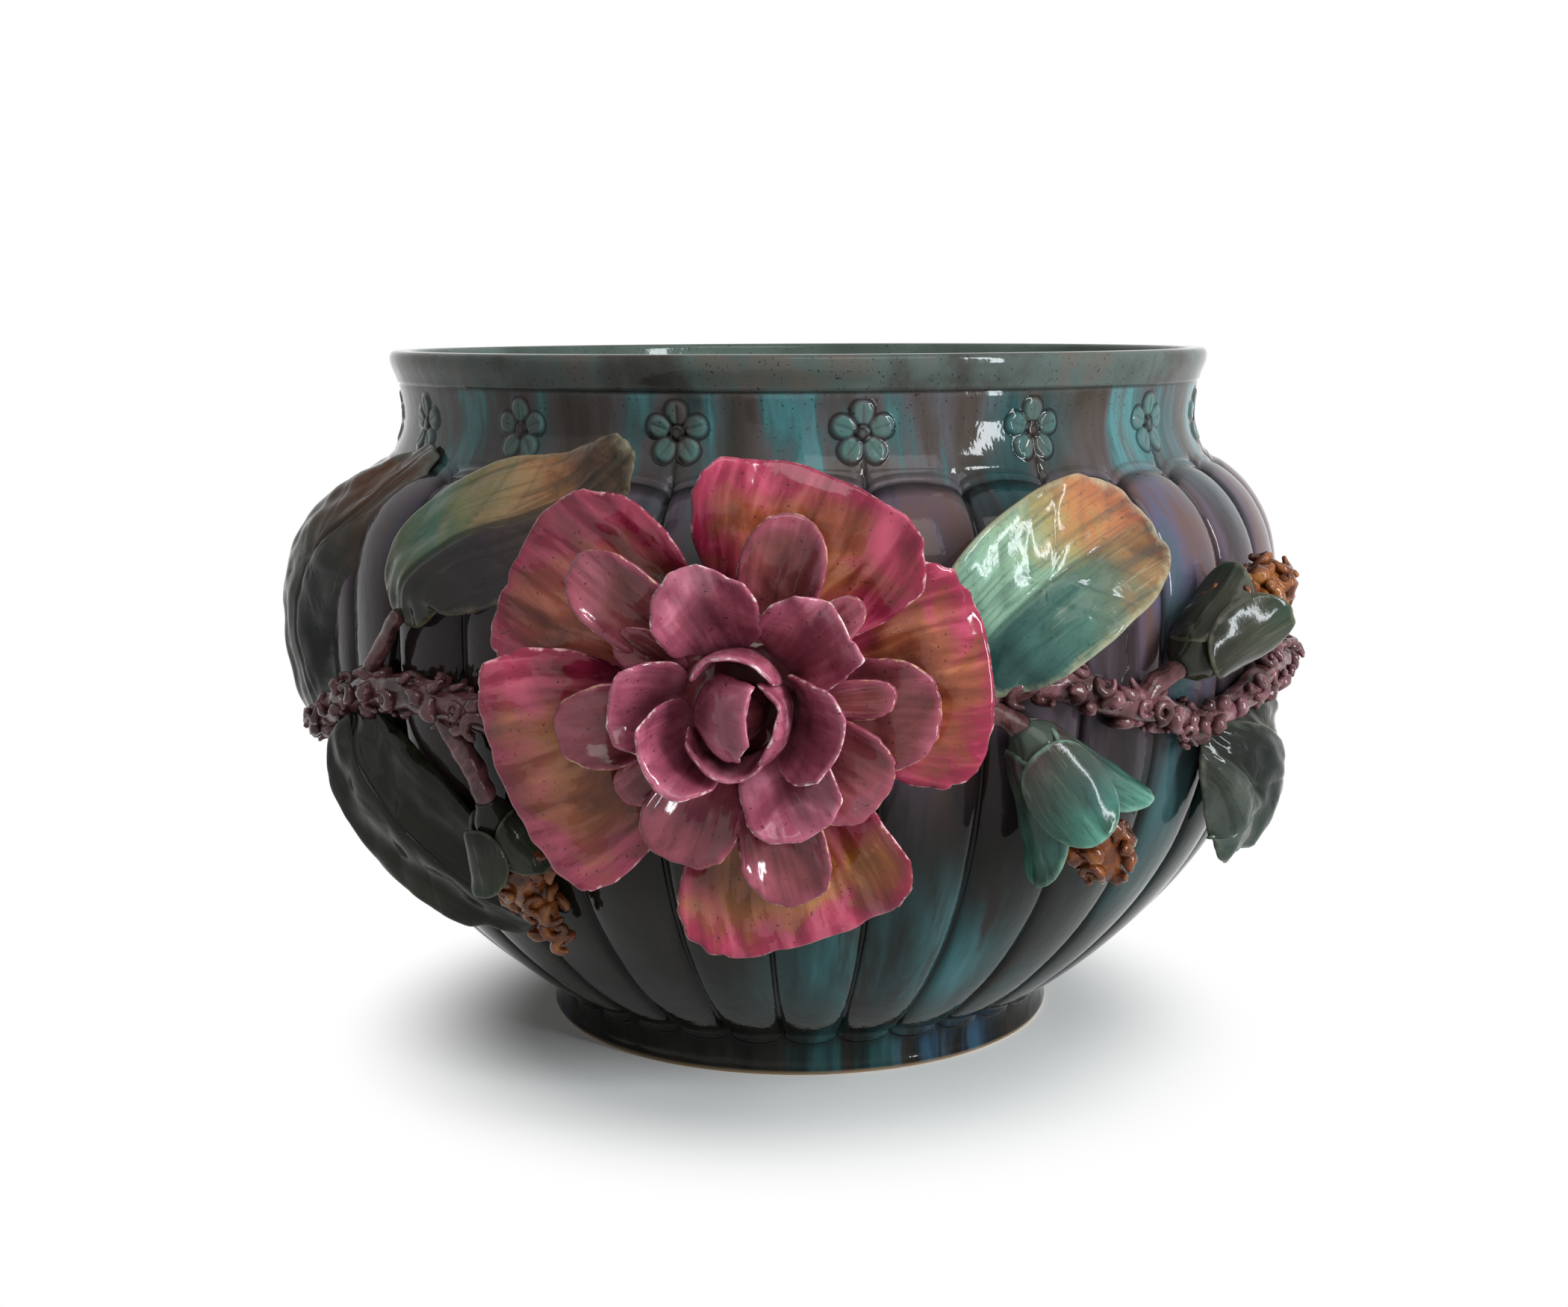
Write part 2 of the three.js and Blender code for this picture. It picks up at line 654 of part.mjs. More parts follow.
function bud(name, stalk, tip, form) {
  const place = onBowl(...stalk.at(-1));
  const frame = opening(place, onBowl(...tip).sub(place).normalize(), place.clone().setZ(0).normalize());
  press(`${name}_stalk`, glazes.bark, (grow) => stem(stalk, [twigRadius, twigRadius], 6, 5, grow));
  press(`${name}_cup`, glazes.leaf, (grow) => turnedOn(frame, [
    [0, form.cup[0][1] - grow],
    ...form.cup.map(([radius, height]) => [radius + grow, height]),
    [0, form.cup.at(-1)[1] + grow],
  ], 12));
  press(`${name}_stamens`, glazes.amber, (grow) => stamenHead(frame, form, grow));
  form.sepals.forEach(([clock, length], index) => {
    const shape = {
      clock, root: sepalRoot, stand: sepalStand, rise: form.sepalRise, curl: -8, lean: 0,
      length, width: form.sepalWidth, cup: 56, narrow: 0.3, tip: 0.3,
      thickness: innerThickness, steps: 11, rings: [0.85],
    };
    press(`${name}_sepal_${index + 1}`, glazes.leaf, (grow) => blade(petalSpine(frame, shape), shape, grow));
  });
}

bud('bud_lower_right', [[10, -20, 5], [15, -16, 6], [18.8, -15, 9], [20.8, -20, 14]], [33.2, -81, 25], {
  cup: [[4, -3], [9.5, 4], [10, 12], [7, 24]],
  head: [34, 68, 12, 8],
  sepals: [[72, 52], [-10, 45], [-92, 54]],
  sepalWidth: 34,
  sepalRise: 74,
});
bud('bud_upper_right', [[36, -15, 5], [38, -9, 7], [39.5, -3, 12]], [54, 26, 23], {
  cup: [[4, -3], [9.5, 4], [11, 12], [8, 24]],
  head: [34, 62, 12, 8],
  sepals: [[90, 44], [-5, 44], [-100, 44]],
  sepalWidth: 32,
  sepalRise: 80,
});
bud('bud_left', [[-38, -23, 5], [-34, -37, 8], [-31.5, -51, 12]], [-28.5, -117, 14], {
  cup: [[4, -3], [8, 4], [9, 12], [7, 20]],
  head: [18, 66, 14, 3],
  sepals: [[80, 25], [-10, 25], [-100, 25]],
  sepalWidth: 24,
  sepalRise: 74,
});

// The origin is under the middle of the whole piece, on the surface that it stands on.
const bounds = new THREE.Box3().setFromObject(jardiniere);
const middle = bounds.getCenter(vec());
jardiniere.position.set(-middle.x, -middle.y, -bounds.min.z);

export default jardiniere;
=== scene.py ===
"""Looks of the glazed earthenware jardiniere with an applied flower, branch, leaves and buds.

Shapes are worked out in millimetres about the bowl's own upright axis, with +Z up and -Y towards the
viewer, and are then moved to the frame's origin and turned to metres. A place on the bowl is an azimuth
in degrees, counted from the front towards +X, a rise above its widest part, and a stand-off.
"""

import math

import bpy
import numpy as np
from mathutils import Matrix, Vector


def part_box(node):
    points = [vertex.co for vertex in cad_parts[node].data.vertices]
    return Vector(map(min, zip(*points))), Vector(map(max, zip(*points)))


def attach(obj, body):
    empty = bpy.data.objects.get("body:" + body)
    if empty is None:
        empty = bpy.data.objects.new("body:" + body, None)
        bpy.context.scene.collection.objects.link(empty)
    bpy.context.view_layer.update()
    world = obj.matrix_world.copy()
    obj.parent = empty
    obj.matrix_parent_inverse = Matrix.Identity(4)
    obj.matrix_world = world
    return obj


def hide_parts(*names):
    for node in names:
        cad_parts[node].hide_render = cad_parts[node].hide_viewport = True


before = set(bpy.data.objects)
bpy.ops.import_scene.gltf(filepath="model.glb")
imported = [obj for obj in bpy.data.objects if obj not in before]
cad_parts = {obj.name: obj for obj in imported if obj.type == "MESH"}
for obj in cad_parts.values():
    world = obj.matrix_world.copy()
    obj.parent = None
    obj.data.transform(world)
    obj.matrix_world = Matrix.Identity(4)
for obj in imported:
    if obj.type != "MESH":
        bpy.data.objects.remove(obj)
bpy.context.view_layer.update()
LOW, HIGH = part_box("bowl")
AXIS = np.array([(LOW.x + HIGH.x) / 2, (LOW.y + HIGH.y) / 2, 0.0])

# ---------------------------------------------------------------- sizes, in millimetres

FOOT_HEIGHT, BELLY_HEIGHT, NECK_HEIGHT = 15.0, 177.0, 257.0
LIP_FOOT, BOWL_HEIGHT = 269.5, 282.5
FOOT_RADIUS, LOBE_FOOT, BELLY_RADIUS = 108.5, 110.5, 201.0
COVE_RADIUS, NECK_RADIUS, RIM_RADIUS = 169.5, 165.3, 170.5
LOBE_COUNT, LOBE_TURN = 32, 7.75
GROOVE_DEPTH, ARCH_RISE, SCALLOP_DROP, WALL = 4.0, 5.0, 3.5, 11.0
# Top of the shoulder, its radius there, foot of the neck band and fullness: in the frame and as glazed.
FRAME_SHOULDER = (228.0, 180.0, 237.0, 2.2)
GLAZED_SHOULDER = (238.0, 177.0, 243.0, 3.2)
FLOWER_COUNT = 16
PAD_RADIUS, PAD_STAND = 31.0, 32.0
PETAL, INNER_PETAL, LEAF = 3.4, 2.8, 3.6
# Settings of the hand-made unevenness of the bowl, in metres. Its lumps only sink the wall.
MEETING, UNEVEN, LUMPS_PER_METRE, LUMP_TOP = 0.00002, 0.0012, 26.0, 0.72
CURLS_PER_SQUARE_METRE = 90000.0
# The photograph's viewpoint: angles in degrees, lens in millimetres, place in metres.
VIEW_PITCH, VIEW_YAW, VIEW_ROLL = 9.33, -0.42, 0.25
VIEW_SENSOR, VIEW_LENS, VIEW_DISTANCE, VIEW_HEIGHT = 36.0, 46.56, 0.870, 0.294

# ---------------------------------------------------------------- small helpers


def mix(a, b, t):
    """What lies between a and b at a share t of the way."""
    return a + (b - a) * t


def smooth(t, low=0.0, high=1.0):
    """Rises smoothly from 0 at low to 1 at high."""
    part = np.clip((t - low) / (high - low), 0, 1)
    return part * part * (3 - 2 * part)


def eased(values, t):
    """Blends smoothly through values at equal steps of t from 0 to 1."""
    spot = np.clip(t, 0, 1) * (len(values) - 1)
    index = np.minimum(spot.astype(int), len(values) - 2)
    part = spot - index
    values = np.asarray(values, float)
    return mix(values[index], values[index + 1], part * part * (3 - 2 * part))


def unit(vectors):
    """The same ways with a length of one."""
    return vectors / np.linalg.norm(vectors, axis=-1, keepdims=True)


SWELL_WAVES = 10


def swell(points, size, seed):
    """Soft unevenness of clay: about -1 to 1, in lumps of roughly the given size."""
    rng = np.random.default_rng(seed)
    points = np.asarray(points, float)
    total = np.zeros(points.shape[:-1])
    for _ in range(SWELL_WAVES):
        way = unit(rng.normal(size=points.shape[-1]))
        length = size * rng.uniform(0.7, 1.5)
        total += np.sin(points @ way * (2 * math.pi / length) + rng.uniform(0, 2 * math.pi))
    return total / math.sqrt(SWELL_WAVES)


def torn(turn, seed, low, high, fade):
    """Unevenness of a rim round its whole turn, in waves from low to high in number."""
    rng = np.random.default_rng(seed)
    total = np.zeros_like(turn)
    for count in range(low, high):
        total += rng.normal() * np.sin(count * turn + rng.uniform(0, 2 * math.pi)) / count**fade
    return total / np.sqrt(sum(1 / count ** (2 * fade) for count in range(low, high)))


# ---------------------------------------------------------------- form of the bowl


def wall_radius(height, form=FRAME_SHOULDER):
    """Smooth outside of the bowl, without lobes."""
    shoulder_top, shoulder_radius, band_foot, fullness = form
    h = np.asarray(height, float)
    below = np.clip(1 - (h - FOOT_HEIGHT) / (BELLY_HEIGHT - FOOT_HEIGHT), 0, 1)
    belly = mix(BELLY_RADIUS, LOBE_FOOT, below**2.5)
    rising = np.clip((h - BELLY_HEIGHT) / (shoulder_top - BELLY_HEIGHT), 0, 1)
    shoulder = mix(BELLY_RADIUS, shoulder_radius, rising**fullness)
    cove = mix(shoulder_radius, COVE_RADIUS, (h - shoulder_top) / (band_foot - shoulder_top))
    neck = mix(NECK_RADIUS, COVE_RADIUS, np.clip(1 - (h - band_foot) / (NECK_HEIGHT - band_foot), 0, 1) ** 2)
    above = np.clip((h - NECK_HEIGHT) / (BOWL_HEIGHT - NECK_HEIGHT), 0, 1)
    flare = mix(NECK_RADIUS, RIM_RADIUS, above**1.5)
    stages = [h <= FOOT_HEIGHT, h <= BELLY_HEIGHT, h <= shoulder_top, h <= band_foot, h <= NECK_HEIGHT]
    return np.select(stages, [np.full_like(h, FOOT_RADIUS), belly, shoulder, cove, neck], flare)


def glazed_radius(height):
    """Outside of the bowl as it is glazed, whose shoulder is a little fuller than the frame's."""
    return wall_radius(height, GLAZED_SHOULDER)


def outward(azimuth):
    """The level way out from the bowl's axis at an azimuth in degrees."""
    turn = np.radians(azimuth)
    return np.stack([np.sin(turn), -np.cos(turn), np.zeros_like(turn)], -1)


def on_bowl(azimuth, rise, stand=0.0):
    """A place on the bowl's smooth wall, or off it by the stand."""
    height = BELLY_HEIGHT + np.asarray(rise, float)
    place = outward(np.asarray(azimuth, float)) * (wall_radius(height) + stand)[..., None]
    place[..., 2] = height
    return place


def wall_normal(place):
    """The way out of the wall, square to its slope, no higher than on the shoulder's upright part."""
    azimuth = np.degrees(np.arctan2(place[..., 0], -place[..., 1]))
    height = np.minimum(place[..., 2], mix(BELLY_HEIGHT, FRAME_SHOULDER[0], 0.7))
    out = outward(azimuth)
    out[..., 2] = -(wall_radius(height + 3) - wall_radius(height - 3)) / 6
    return unit(out)


# ---------------------------------------------------------------- meshes


def make_mesh(name, points, quads, triangles, marks=None, local=False):
    """A mesh from points in millimetres, with marks as float attributes of its points."""
    points = np.asarray(points, float) / 1000 + (0 if local else AXIS)
    quads = np.asarray(quads, int).reshape(-1, 4)
    triangles = np.asarray(triangles, int).reshape(-1, 3)
    corners = np.concatenate([quads.ravel(), triangles.ravel()])
    starts = np.concatenate([np.arange(len(quads)) * 4, len(quads) * 4 + np.arange(len(triangles)) * 3])
    mesh = bpy.data.meshes.new(name)
    mesh.vertices.add(len(points))
    mesh.vertices.foreach_set("co", points.astype(np.float32).ravel())
    mesh.loops.add(len(corners))
    mesh.loops.foreach_set("vertex_index", corners.astype(np.int32))
    mesh.polygons.add(len(starts))
    mesh.polygons.foreach_set("loop_start", starts.astype(np.int32))
    for label, values in (marks or {}).items():
        mark = mesh.attributes.new(label, "FLOAT", "POINT")
        mark.data.foreach_set("value", np.broadcast_to(values, len(points)).astype(np.float32))
    mesh.update(calc_edges=True)
    mesh.validate()
    mesh.shade_smooth()
    return mesh


def grid(rows, columns, first=0, closed=True):
    """Quads between rows of points, each row a closed ring where closed is true."""
    row = np.arange(rows - 1)[:, None]
    column = np.arange(columns if closed else columns - 1)[None, :]
    after = (column + 1) % columns
    corners = [
        row * columns + column, row * columns + after,
        (row + 1) * columns + after, (row + 1) * columns + column,
    ]
    return first + np.stack([np.broadcast_to(c, (rows - 1, column.size)) for c in corners], -1).reshape(-1, 4)


def fan(centre, ring, count, flip=False):
    """Triangles from a point to a closed ring of points that starts at index ring."""
    step = np.arange(count)
    after = (step + 1) % count
    sides = [ring + after, ring + step] if flip else [ring + step, ring + after]
    return np.stack([np.full(count, centre), *sides], -1)


def skin(rings, start, end):
    """Closed skin over rings of equal length: its points, quads and triangles."""
    count = len(rings[0])
    points = np.concatenate([[start], *rings, [end]])
    last = len(points) - 1
    quads = grid(len(rings), count, 1)
    return points, quads, np.concatenate([fan(0, 1, count, True), fan(last, last - count, count)])


def outwards(points, quads, triangles):
    """Turns the faces round where they look inwards."""
    corners = np.concatenate([quads[:, [0, 1, 2]], quads[:, [0, 2, 3]], triangles])
    a, b, c = (points[corners[:, side]] for side in range(3))
    if np.einsum("ij,ij->i", a - points.mean(0), np.cross(b - points.mean(0), c - points.mean(0))).sum() < 0:
        return quads[:, ::-1], triangles[:, ::-1]
    return quads, triangles


def place_piece(name, mesh, slot, *nodes):
    """Adds a mesh as a piece of the object that stands for the given nodes of the frame."""
    piece = mesh if isinstance(mesh, bpy.types.Object) else bpy.data.objects.new(name, mesh)
    if piece.name not in bpy.context.scene.collection.objects:
        bpy.context.scene.collection.objects.link(piece)
    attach(piece, "root")
    if nodes:
        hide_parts(*nodes)
    return piece


# ---------------------------------------------------------------- nodes


def add(tree, kind, inputs=None, **settings):
    """Adds a node with its settings. A socket given for an input is linked, anything else is set."""
    made = tree.nodes.new(kind)
    for label, value in settings.items():
        setattr(made, label, value)
    for label, value in (inputs or {}).items():
        if isinstance(value, bpy.types.NodeSocket):
            tree.links.new(value, made.inputs[label])
        else:
            made.inputs[label].default_value = value
    return made


def shade(code):
    """A colour from its sRGB hex code, in linear light."""
    parts = [int(code[i : i + 2], 16) / 255 for i in (1, 3, 5)]
    return (*[p / 12.92 if p <= 0.04045 else ((p + 0.055) / 1.055) ** 2.4 for p in parts], 1.0)


def new_tree(name, sizes):
    """An empty Geometry Nodes tree with named inputs: the tree, its inputs and its output node."""
    tree = bpy.data.node_groups.new(name, "GeometryNodeTree")
    tree.interface.new_socket("Geometry", in_out="OUTPUT", socket_type="NodeSocketGeometry")
    tree.interface.new_socket("Geometry", in_out="INPUT", socket_type="NodeSocketGeometry")
    for label, kind in sizes.items():
        tree.interface.new_socket(label, in_out="INPUT", socket_type=kind)
    return tree, add(tree, "NodeGroupInput").outputs, add(tree, "NodeGroupOutput")


def grow(name, mesh, tree, values):
    """Runs a tree over a mesh and returns an object with the plain mesh that it makes."""
    carrier = bpy.data.objects.new(name, mesh)
    bpy.context.scene.collection.objects.link(carrier)
    modifier = carrier.modifiers.new("shape", "NODES")
    modifier.node_group = tree
    for item in tree.interface.items_tree:
        if item.item_type == "SOCKET" and item.in_out == "INPUT" and item.name in values:
            modifier[item.identifier] = values[item.name]
    seen = bpy.context.evaluated_depsgraph_get()
    shaped = carrier.evaluated_get(seen)
    made = bpy.data.meshes.new_from_object(shaped, preserve_all_data_layers=True, depsgraph=seen)
    carrier.modifiers.remove(modifier)
    carrier.data = made
    return carrier


def copies_round_axis():
    """Tree: equal copies of one part round an upright axis, joined where they meet, a little uneven."""
    tree, given, end = new_tree("copies round axis", {
        "Count": "NodeSocketInt",
        "Centre": "NodeSocketVector",
        "Join Distance": "NodeSocketFloat",
        "Unevenness": "NodeSocketFloat",
        "Lump Scale": "NodeSocketFloat",
        "Glaze": "NodeSocketMaterial",
    })
    points = add(tree, "GeometryNodePoints", {"Count": given["Count"], "Position": given["Centre"]})
    index = add(tree, "GeometryNodeInputIndex")
    share = add(tree, "ShaderNodeMath", {0: index.outputs[0], 1: given["Count"]}, operation="DIVIDE")
    turn = add(tree, "ShaderNodeMath", {0: share.outputs[0], 1: 2 * math.pi}, operation="MULTIPLY")
    about = add(tree, "ShaderNodeCombineXYZ", {"Z": turn.outputs[0]})
    rotation = add(tree, "FunctionNodeEulerToRotation", {0: about.outputs[0]})
    placed = add(tree, "GeometryNodeInstanceOnPoints", {
        "Points": points.outputs[0], "Instance": given["Geometry"], "Rotation": rotation.outputs[0],
    })
    real = add(tree, "GeometryNodeRealizeInstances", {"Geometry": placed.outputs[0]})
    joined = add(tree, "GeometryNodeMergeByDistance", {
        "Geometry": real.outputs[0], "Distance": given["Join Distance"],
    })
    lumps = add(tree, "ShaderNodeTexNoise", {"Scale": given["Lump Scale"], "Detail": 2.0})
    level = add(tree, "ShaderNodeMath", {0: lumps.outputs[0], 1: LUMP_TOP}, operation="SUBTRACT")
    depth = add(tree, "ShaderNodeMath", {0: level.outputs[0], 1: given["Unevenness"]}, operation="MULTIPLY")
    normal = add(tree, "GeometryNodeInputNormal")
    push = add(tree, "ShaderNodeVectorMath", {
        0: normal.outputs[0], "Scale": depth.outputs[0],
    }, operation="SCALE")
    level_push = add(tree, "ShaderNodeVectorMath", {0: push.outputs[0], 1: (1, 1, 0)}, operation="MULTIPLY")
    moved = add(tree, "GeometryNodeSetPosition", {
        "Geometry": joined.outputs[0], "Offset": level_push.outputs[0],
    })
    soft = add(tree, "GeometryNodeSetShadeSmooth", {"Geometry": moved.outputs[0]})
    done = add(tree, "GeometryNodeSetMaterial", {"Geometry": soft.outputs[0], "Material": given["Glaze"]})
    tree.links.new(done.outputs[0], end.inputs[0])
    return tree


def pressed_curls():
    """Tree: curls of clay in three shapes, pressed close together onto a core's outer side."""
    tree, given, end = new_tree("pressed curls", {
        "Snail": "NodeSocketObject",
        "Bead": "NodeSocketObject",
        "Hook": "NodeSocketObject",
        "Spacing": "NodeSocketFloat",
        "Smallest": "NodeSocketFloat",
        "Largest": "NodeSocketFloat",
        "Centre": "NodeSocketVector",
        "Facing": "NodeSocketFloat",
        "Seed": "NodeSocketInt",
        "Glaze": "NodeSocketMaterial",
    })
    position = add(tree, "GeometryNodeInputPosition")
    normal = add(tree, "GeometryNodeInputNormal")
    arm = add(tree, "ShaderNodeVectorMath", {
        0: position.outputs[0], 1: given["Centre"],
    }, operation="SUBTRACT")
    level = add(tree, "ShaderNodeVectorMath", {0: arm.outputs[0], 1: (1, 1, 0)}, operation="MULTIPLY")
    away = add(tree, "ShaderNodeVectorMath", {0: level.outputs[0]}, operation="NORMALIZE")
    facing = add(tree, "ShaderNodeVectorMath", {
        0: away.outputs[0], 1: normal.outputs[0],
    }, operation="DOT_PRODUCT")
    outer = add(tree, "ShaderNodeMath", {
        0: facing.outputs["Value"], 1: given["Facing"],
    }, operation="GREATER_THAN")
    spread = add(tree, "GeometryNodeDistributePointsOnFaces", {
        "Mesh": given["Geometry"], "Selection": outer.outputs[0], "Distance Min": given["Spacing"],
        "Density Max": CURLS_PER_SQUARE_METRE, "Seed": given["Seed"],
    }, distribute_method="POISSON")
    shapes = add(tree, "GeometryNodeJoinGeometry")
    for label in ("Hook", "Bead", "Snail"):
        shape = add(tree, "GeometryNodeObjectInfo", {"Object": given[label], "As Instance": True})
        tree.links.new(shape.outputs["Geometry"], shapes.inputs[0])
    which = add(tree, "FunctionNodeRandomValue", {4: 0, 5: 2, "Seed": given["Seed"]}, data_type="INT")
    size = add(tree, "FunctionNodeRandomValue", {
        2: given["Smallest"], 3: given["Largest"], "Seed": given["Seed"],
    }, data_type="FLOAT")
    tumble = add(tree, "FunctionNodeRandomValue", {
        0: (-0.3, -0.3, 0.0), 1: (0.3, 0.3, 2 * math.pi), "Seed": given["Seed"],
    }, data_type="FLOAT_VECTOR")
    spin = add(tree, "FunctionNodeEulerToRotation", {0: tumble.outputs[0]})
    turned = add(tree, "FunctionNodeRotateRotation", {
        0: spread.outputs["Rotation"], 1: spin.outputs[0],
    }, rotation_space="LOCAL")
    placed = add(tree, "GeometryNodeInstanceOnPoints", {
        "Points": spread.outputs["Points"], "Instance": shapes.outputs[0], "Pick Instance": True,
        "Instance Index": which.outputs[2], "Rotation": turned.outputs[0], "Scale": size.outputs[1],
    })
    real = add(tree, "GeometryNodeRealizeInstances", {"Geometry": placed.outputs[0]})
    whole = add(tree, "GeometryNodeJoinGeometry")
    tree.links.new(real.outputs[0], whole.inputs[0])
    tree.links.new(given["Geometry"], whole.inputs[0])
    soft = add(tree, "GeometryNodeSetShadeSmooth", {"Geometry": whole.outputs[0]})
    done = add(tree, "GeometryNodeSetMaterial", {"Geometry": soft.outputs[0], "Material": given["Glaze"]})
    tree.links.new(done.outputs[0], end.inputs[0])
    return tree


# ---------------------------------------------------------------- materials

# Sizes of the glaze's patterns in millimetres. Iron specks are about 0.3 mm across on the real glaze and
# are drawn coarser so that they show. The net of fine cracks has 210 cells in a metre, 4.8 mm each.
RUN, STREAK, BROAD_PATCH, LIP_PATCH, WALL_SKIN, WALL_SATIN = 32, 20, 70, 50, 7, 12
PETAL_PATCH, PETAL_THIN, PETAL_SMEAR, PETAL_WEAR = 24, 16, 20, 4
LEAF_FLOW, LEAF_WEAR, CLAY_SKIN = 18, 5, 3.5
WALL_SPECK, PETAL_SPECK, CLAY_SPECK, LEAF_SPECK = 1.2, 1.4, 1.5, 1.6
CRACKS_PER_METRE = 210.0
GLAZE_IOR = 1.5
# How smooth each glaze is, and how strongly it mirrors.
WALL_GLOSS, PETAL_GLOSS, LEAF_GLOSS, CLAY_GLOSS = (0.07, 0.14), (0.1, 0.28), (0.14, 0.16), (0.12, 0.28)


def new_glaze(name, roughness, gloss, *labels):
    """An empty glaze: its material, tree, shader, the place of each point from the bowl's axis, and the
    marks of these labels that its meshes carry on their points."""
    material = bpy.data.materials.new(name)
    material.use_nodes = True
    tree = material.node_tree
    tree.nodes.clear()
    shader = add(tree, "ShaderNodeBsdfPrincipled", {
        "Roughness": roughness, "IOR": GLAZE_IOR, "Specular IOR Level": gloss,
    })
    add(tree, "ShaderNodeOutputMaterial", {"Surface": shader.outputs[0]})
    place = add(tree, "ShaderNodeTexCoord").outputs["Object"]
    centred = add(tree, "ShaderNodeMapping", {"Vector": place, "Location": tuple(-AXIS)})
    marks = [add(tree, "ShaderNodeAttribute", attribute_name=label).outputs["Fac"] for label in labels]
    return material, tree, shader, centred.outputs[0], marks


def patches(tree, place, size, stretch=(1, 1, 1), detail=4.0, wander=0.0, shift=0.0):
    """Patchiness of a glaze from 0 to 1, in patches of about size millimetres, drawn out by stretch."""
    scaled = add(tree, "ShaderNodeMapping", {
        "Vector": place, "Scale": stretch, "Location": (shift, shift * 0.7, shift * 0.3),
    })
    made = add(tree, "ShaderNodeTexNoise", {
        "Vector": scaled.outputs[0], "Scale": 1000 / size, "Detail": detail, "Roughness": 0.58,
        "Distortion": wander,
    })
    return made.outputs["Fac"]


def brush_strokes(tree, across, along, seed, times, detail, roughness, wander):
    """Strokes of a brush from root to tip, as many across and along the piece as times says."""
    place = add(tree, "ShaderNodeCombineXYZ", {"X": across, "Y": along, "Z": seed})
    scaled = add(tree, "ShaderNodeVectorMath", {0: place.outputs[0], 1: (*times, 1.0)}, operation="MULTIPLY")
    made = add(tree, "ShaderNodeTexNoise", {
        "Vector": scaled.outputs[0], "Scale": 1.0, "Detail": detail, "Roughness": roughness,
        "Distortion": wander,
    })
    return made.outputs["Fac"]


def together(tree, *parts):
    """One pattern made of several, each with its weight, and kept between 0 and 1."""
    total = 0.0
    for pattern, weight in parts:
        total = add(tree, "ShaderNodeMath", {
            0: pattern, 1: weight, 2: total,
        }, operation="MULTIPLY_ADD", use_clamp=True).outputs[0]
    return total


def spots(tree, place, centres):
    """Soft patches round places on the bowl: each is an azimuth, a rise, a reach in mm and a strength."""
    found = []
    for azimuth, rise, reach, strength in centres:
        centre = tuple(on_bowl(azimuth, rise) / 1000)
        far = add(tree, "ShaderNodeVectorMath", {0: place, 1: centre}, operation="DISTANCE")
        near = add(tree, "ShaderNodeMapRange", {
            "Value": far.outputs["Value"], "From Min": reach / 1000, "From Max": reach / 4000,
            "To Max": strength,
        }, interpolation_type="SMOOTHSTEP")
        found.append((near.outputs[0], 1.0))
    return together(tree, *found)


def coat(tree, under, tones, along=None, cover=None, low=0.0, high=1.0, share=1.0):
    """Colour once a coat of glaze is laid over what is under it. Its tones are a hex code, or stops along
    a pattern. It lies where the cover goes from low to high, as thick as the share says."""
    if isinstance(tones, str):
        colour = shade(tones)
    else:
        ramp = add(tree, "ShaderNodeValToRGB", {"Fac": along})
        while len(ramp.color_ramp.elements) < len(tones):
            ramp.color_ramp.elements.new(0.5)
        for stop, (place, code) in zip(ramp.color_ramp.elements, tones):
            stop.position = place
            stop.color = shade(code)
        colour = ramp.outputs[0]
    if under is None:
        return colour
    if cover is not None:
        share = add(tree, "ShaderNodeMapRange", {
            "Value": cover, "From Min": low, "From Max": high, "To Min": 0.0, "To Max": share,
        }, interpolation_type="SMOOTHSTEP").outputs[0]
    return add(tree, "ShaderNodeMix", {0: share, 6: under, 7: colour}, data_type="RGBA").outputs[2]


def fired(material, shader, coats, height, strength, depth):
    """Lays the coats one over another, gives the shader their colour, and raises its skin by a pattern,
    up to a depth in millimetres."""
    tree = material.node_tree
    colour = None
    for row in coats:
        colour = coat(tree, colour, *row)
    tree.links.new(colour, shader.inputs["Base Color"])
    relief = add(tree, "ShaderNodeBump", {"Height": height, "Strength": strength, "Distance": depth / 1000})
    tree.links.new(relief.outputs[0], shader.inputs["Normal"])
    return material


LOW_WALL_TONES = [
    (0.3, "#0d0c0a"), (0.42, "#151411"), (0.52, "#1d1c18"), (0.6, "#241d18"), (0.7, "#212725"),
    (0.8, "#1a2e2c"),
]
SHOULDER_TONES = [
    (0.32, "#262021"), (0.42, "#3a3034"), (0.5, "#514550"), (0.57, "#5a4440"), (0.64, "#504d60"),
    (0.74, "#35514f"),
]
NECK_TONES = [
    (0.3, "#2b2621"), (0.4, "#37302a"), (0.48, "#433b37"), (0.54, "#4b494c"), (0.57, "#3a5353"),
    (0.61, "#467274"), (0.66, "#4c5d5e"), (0.74, "#3a332e"),
]
LIP_TONES = [(0.3, "#2d2926"), (0.42, "#3d3d39"), (0.52, "#4a5551"), (0.6, "#54504a"), (0.7, "#43524e")]
TEAL_TONES = [(0.35, "#12292b"), (0.5, "#21484a"), (0.68, "#3f7378")]
BLUE_TONES = [(0.4, "#1a2a3a"), (0.6, "#2f5066")]
BAND_FLOWER_TONES = [(0.4, "#5d5754"), (0.5, "#518a82"), (0.6, "#67605f")]
INSIDE_TONES = [(0.3, "#3f4a44"), (0.5, "#56675e"), (0.7, "#6c8077")]
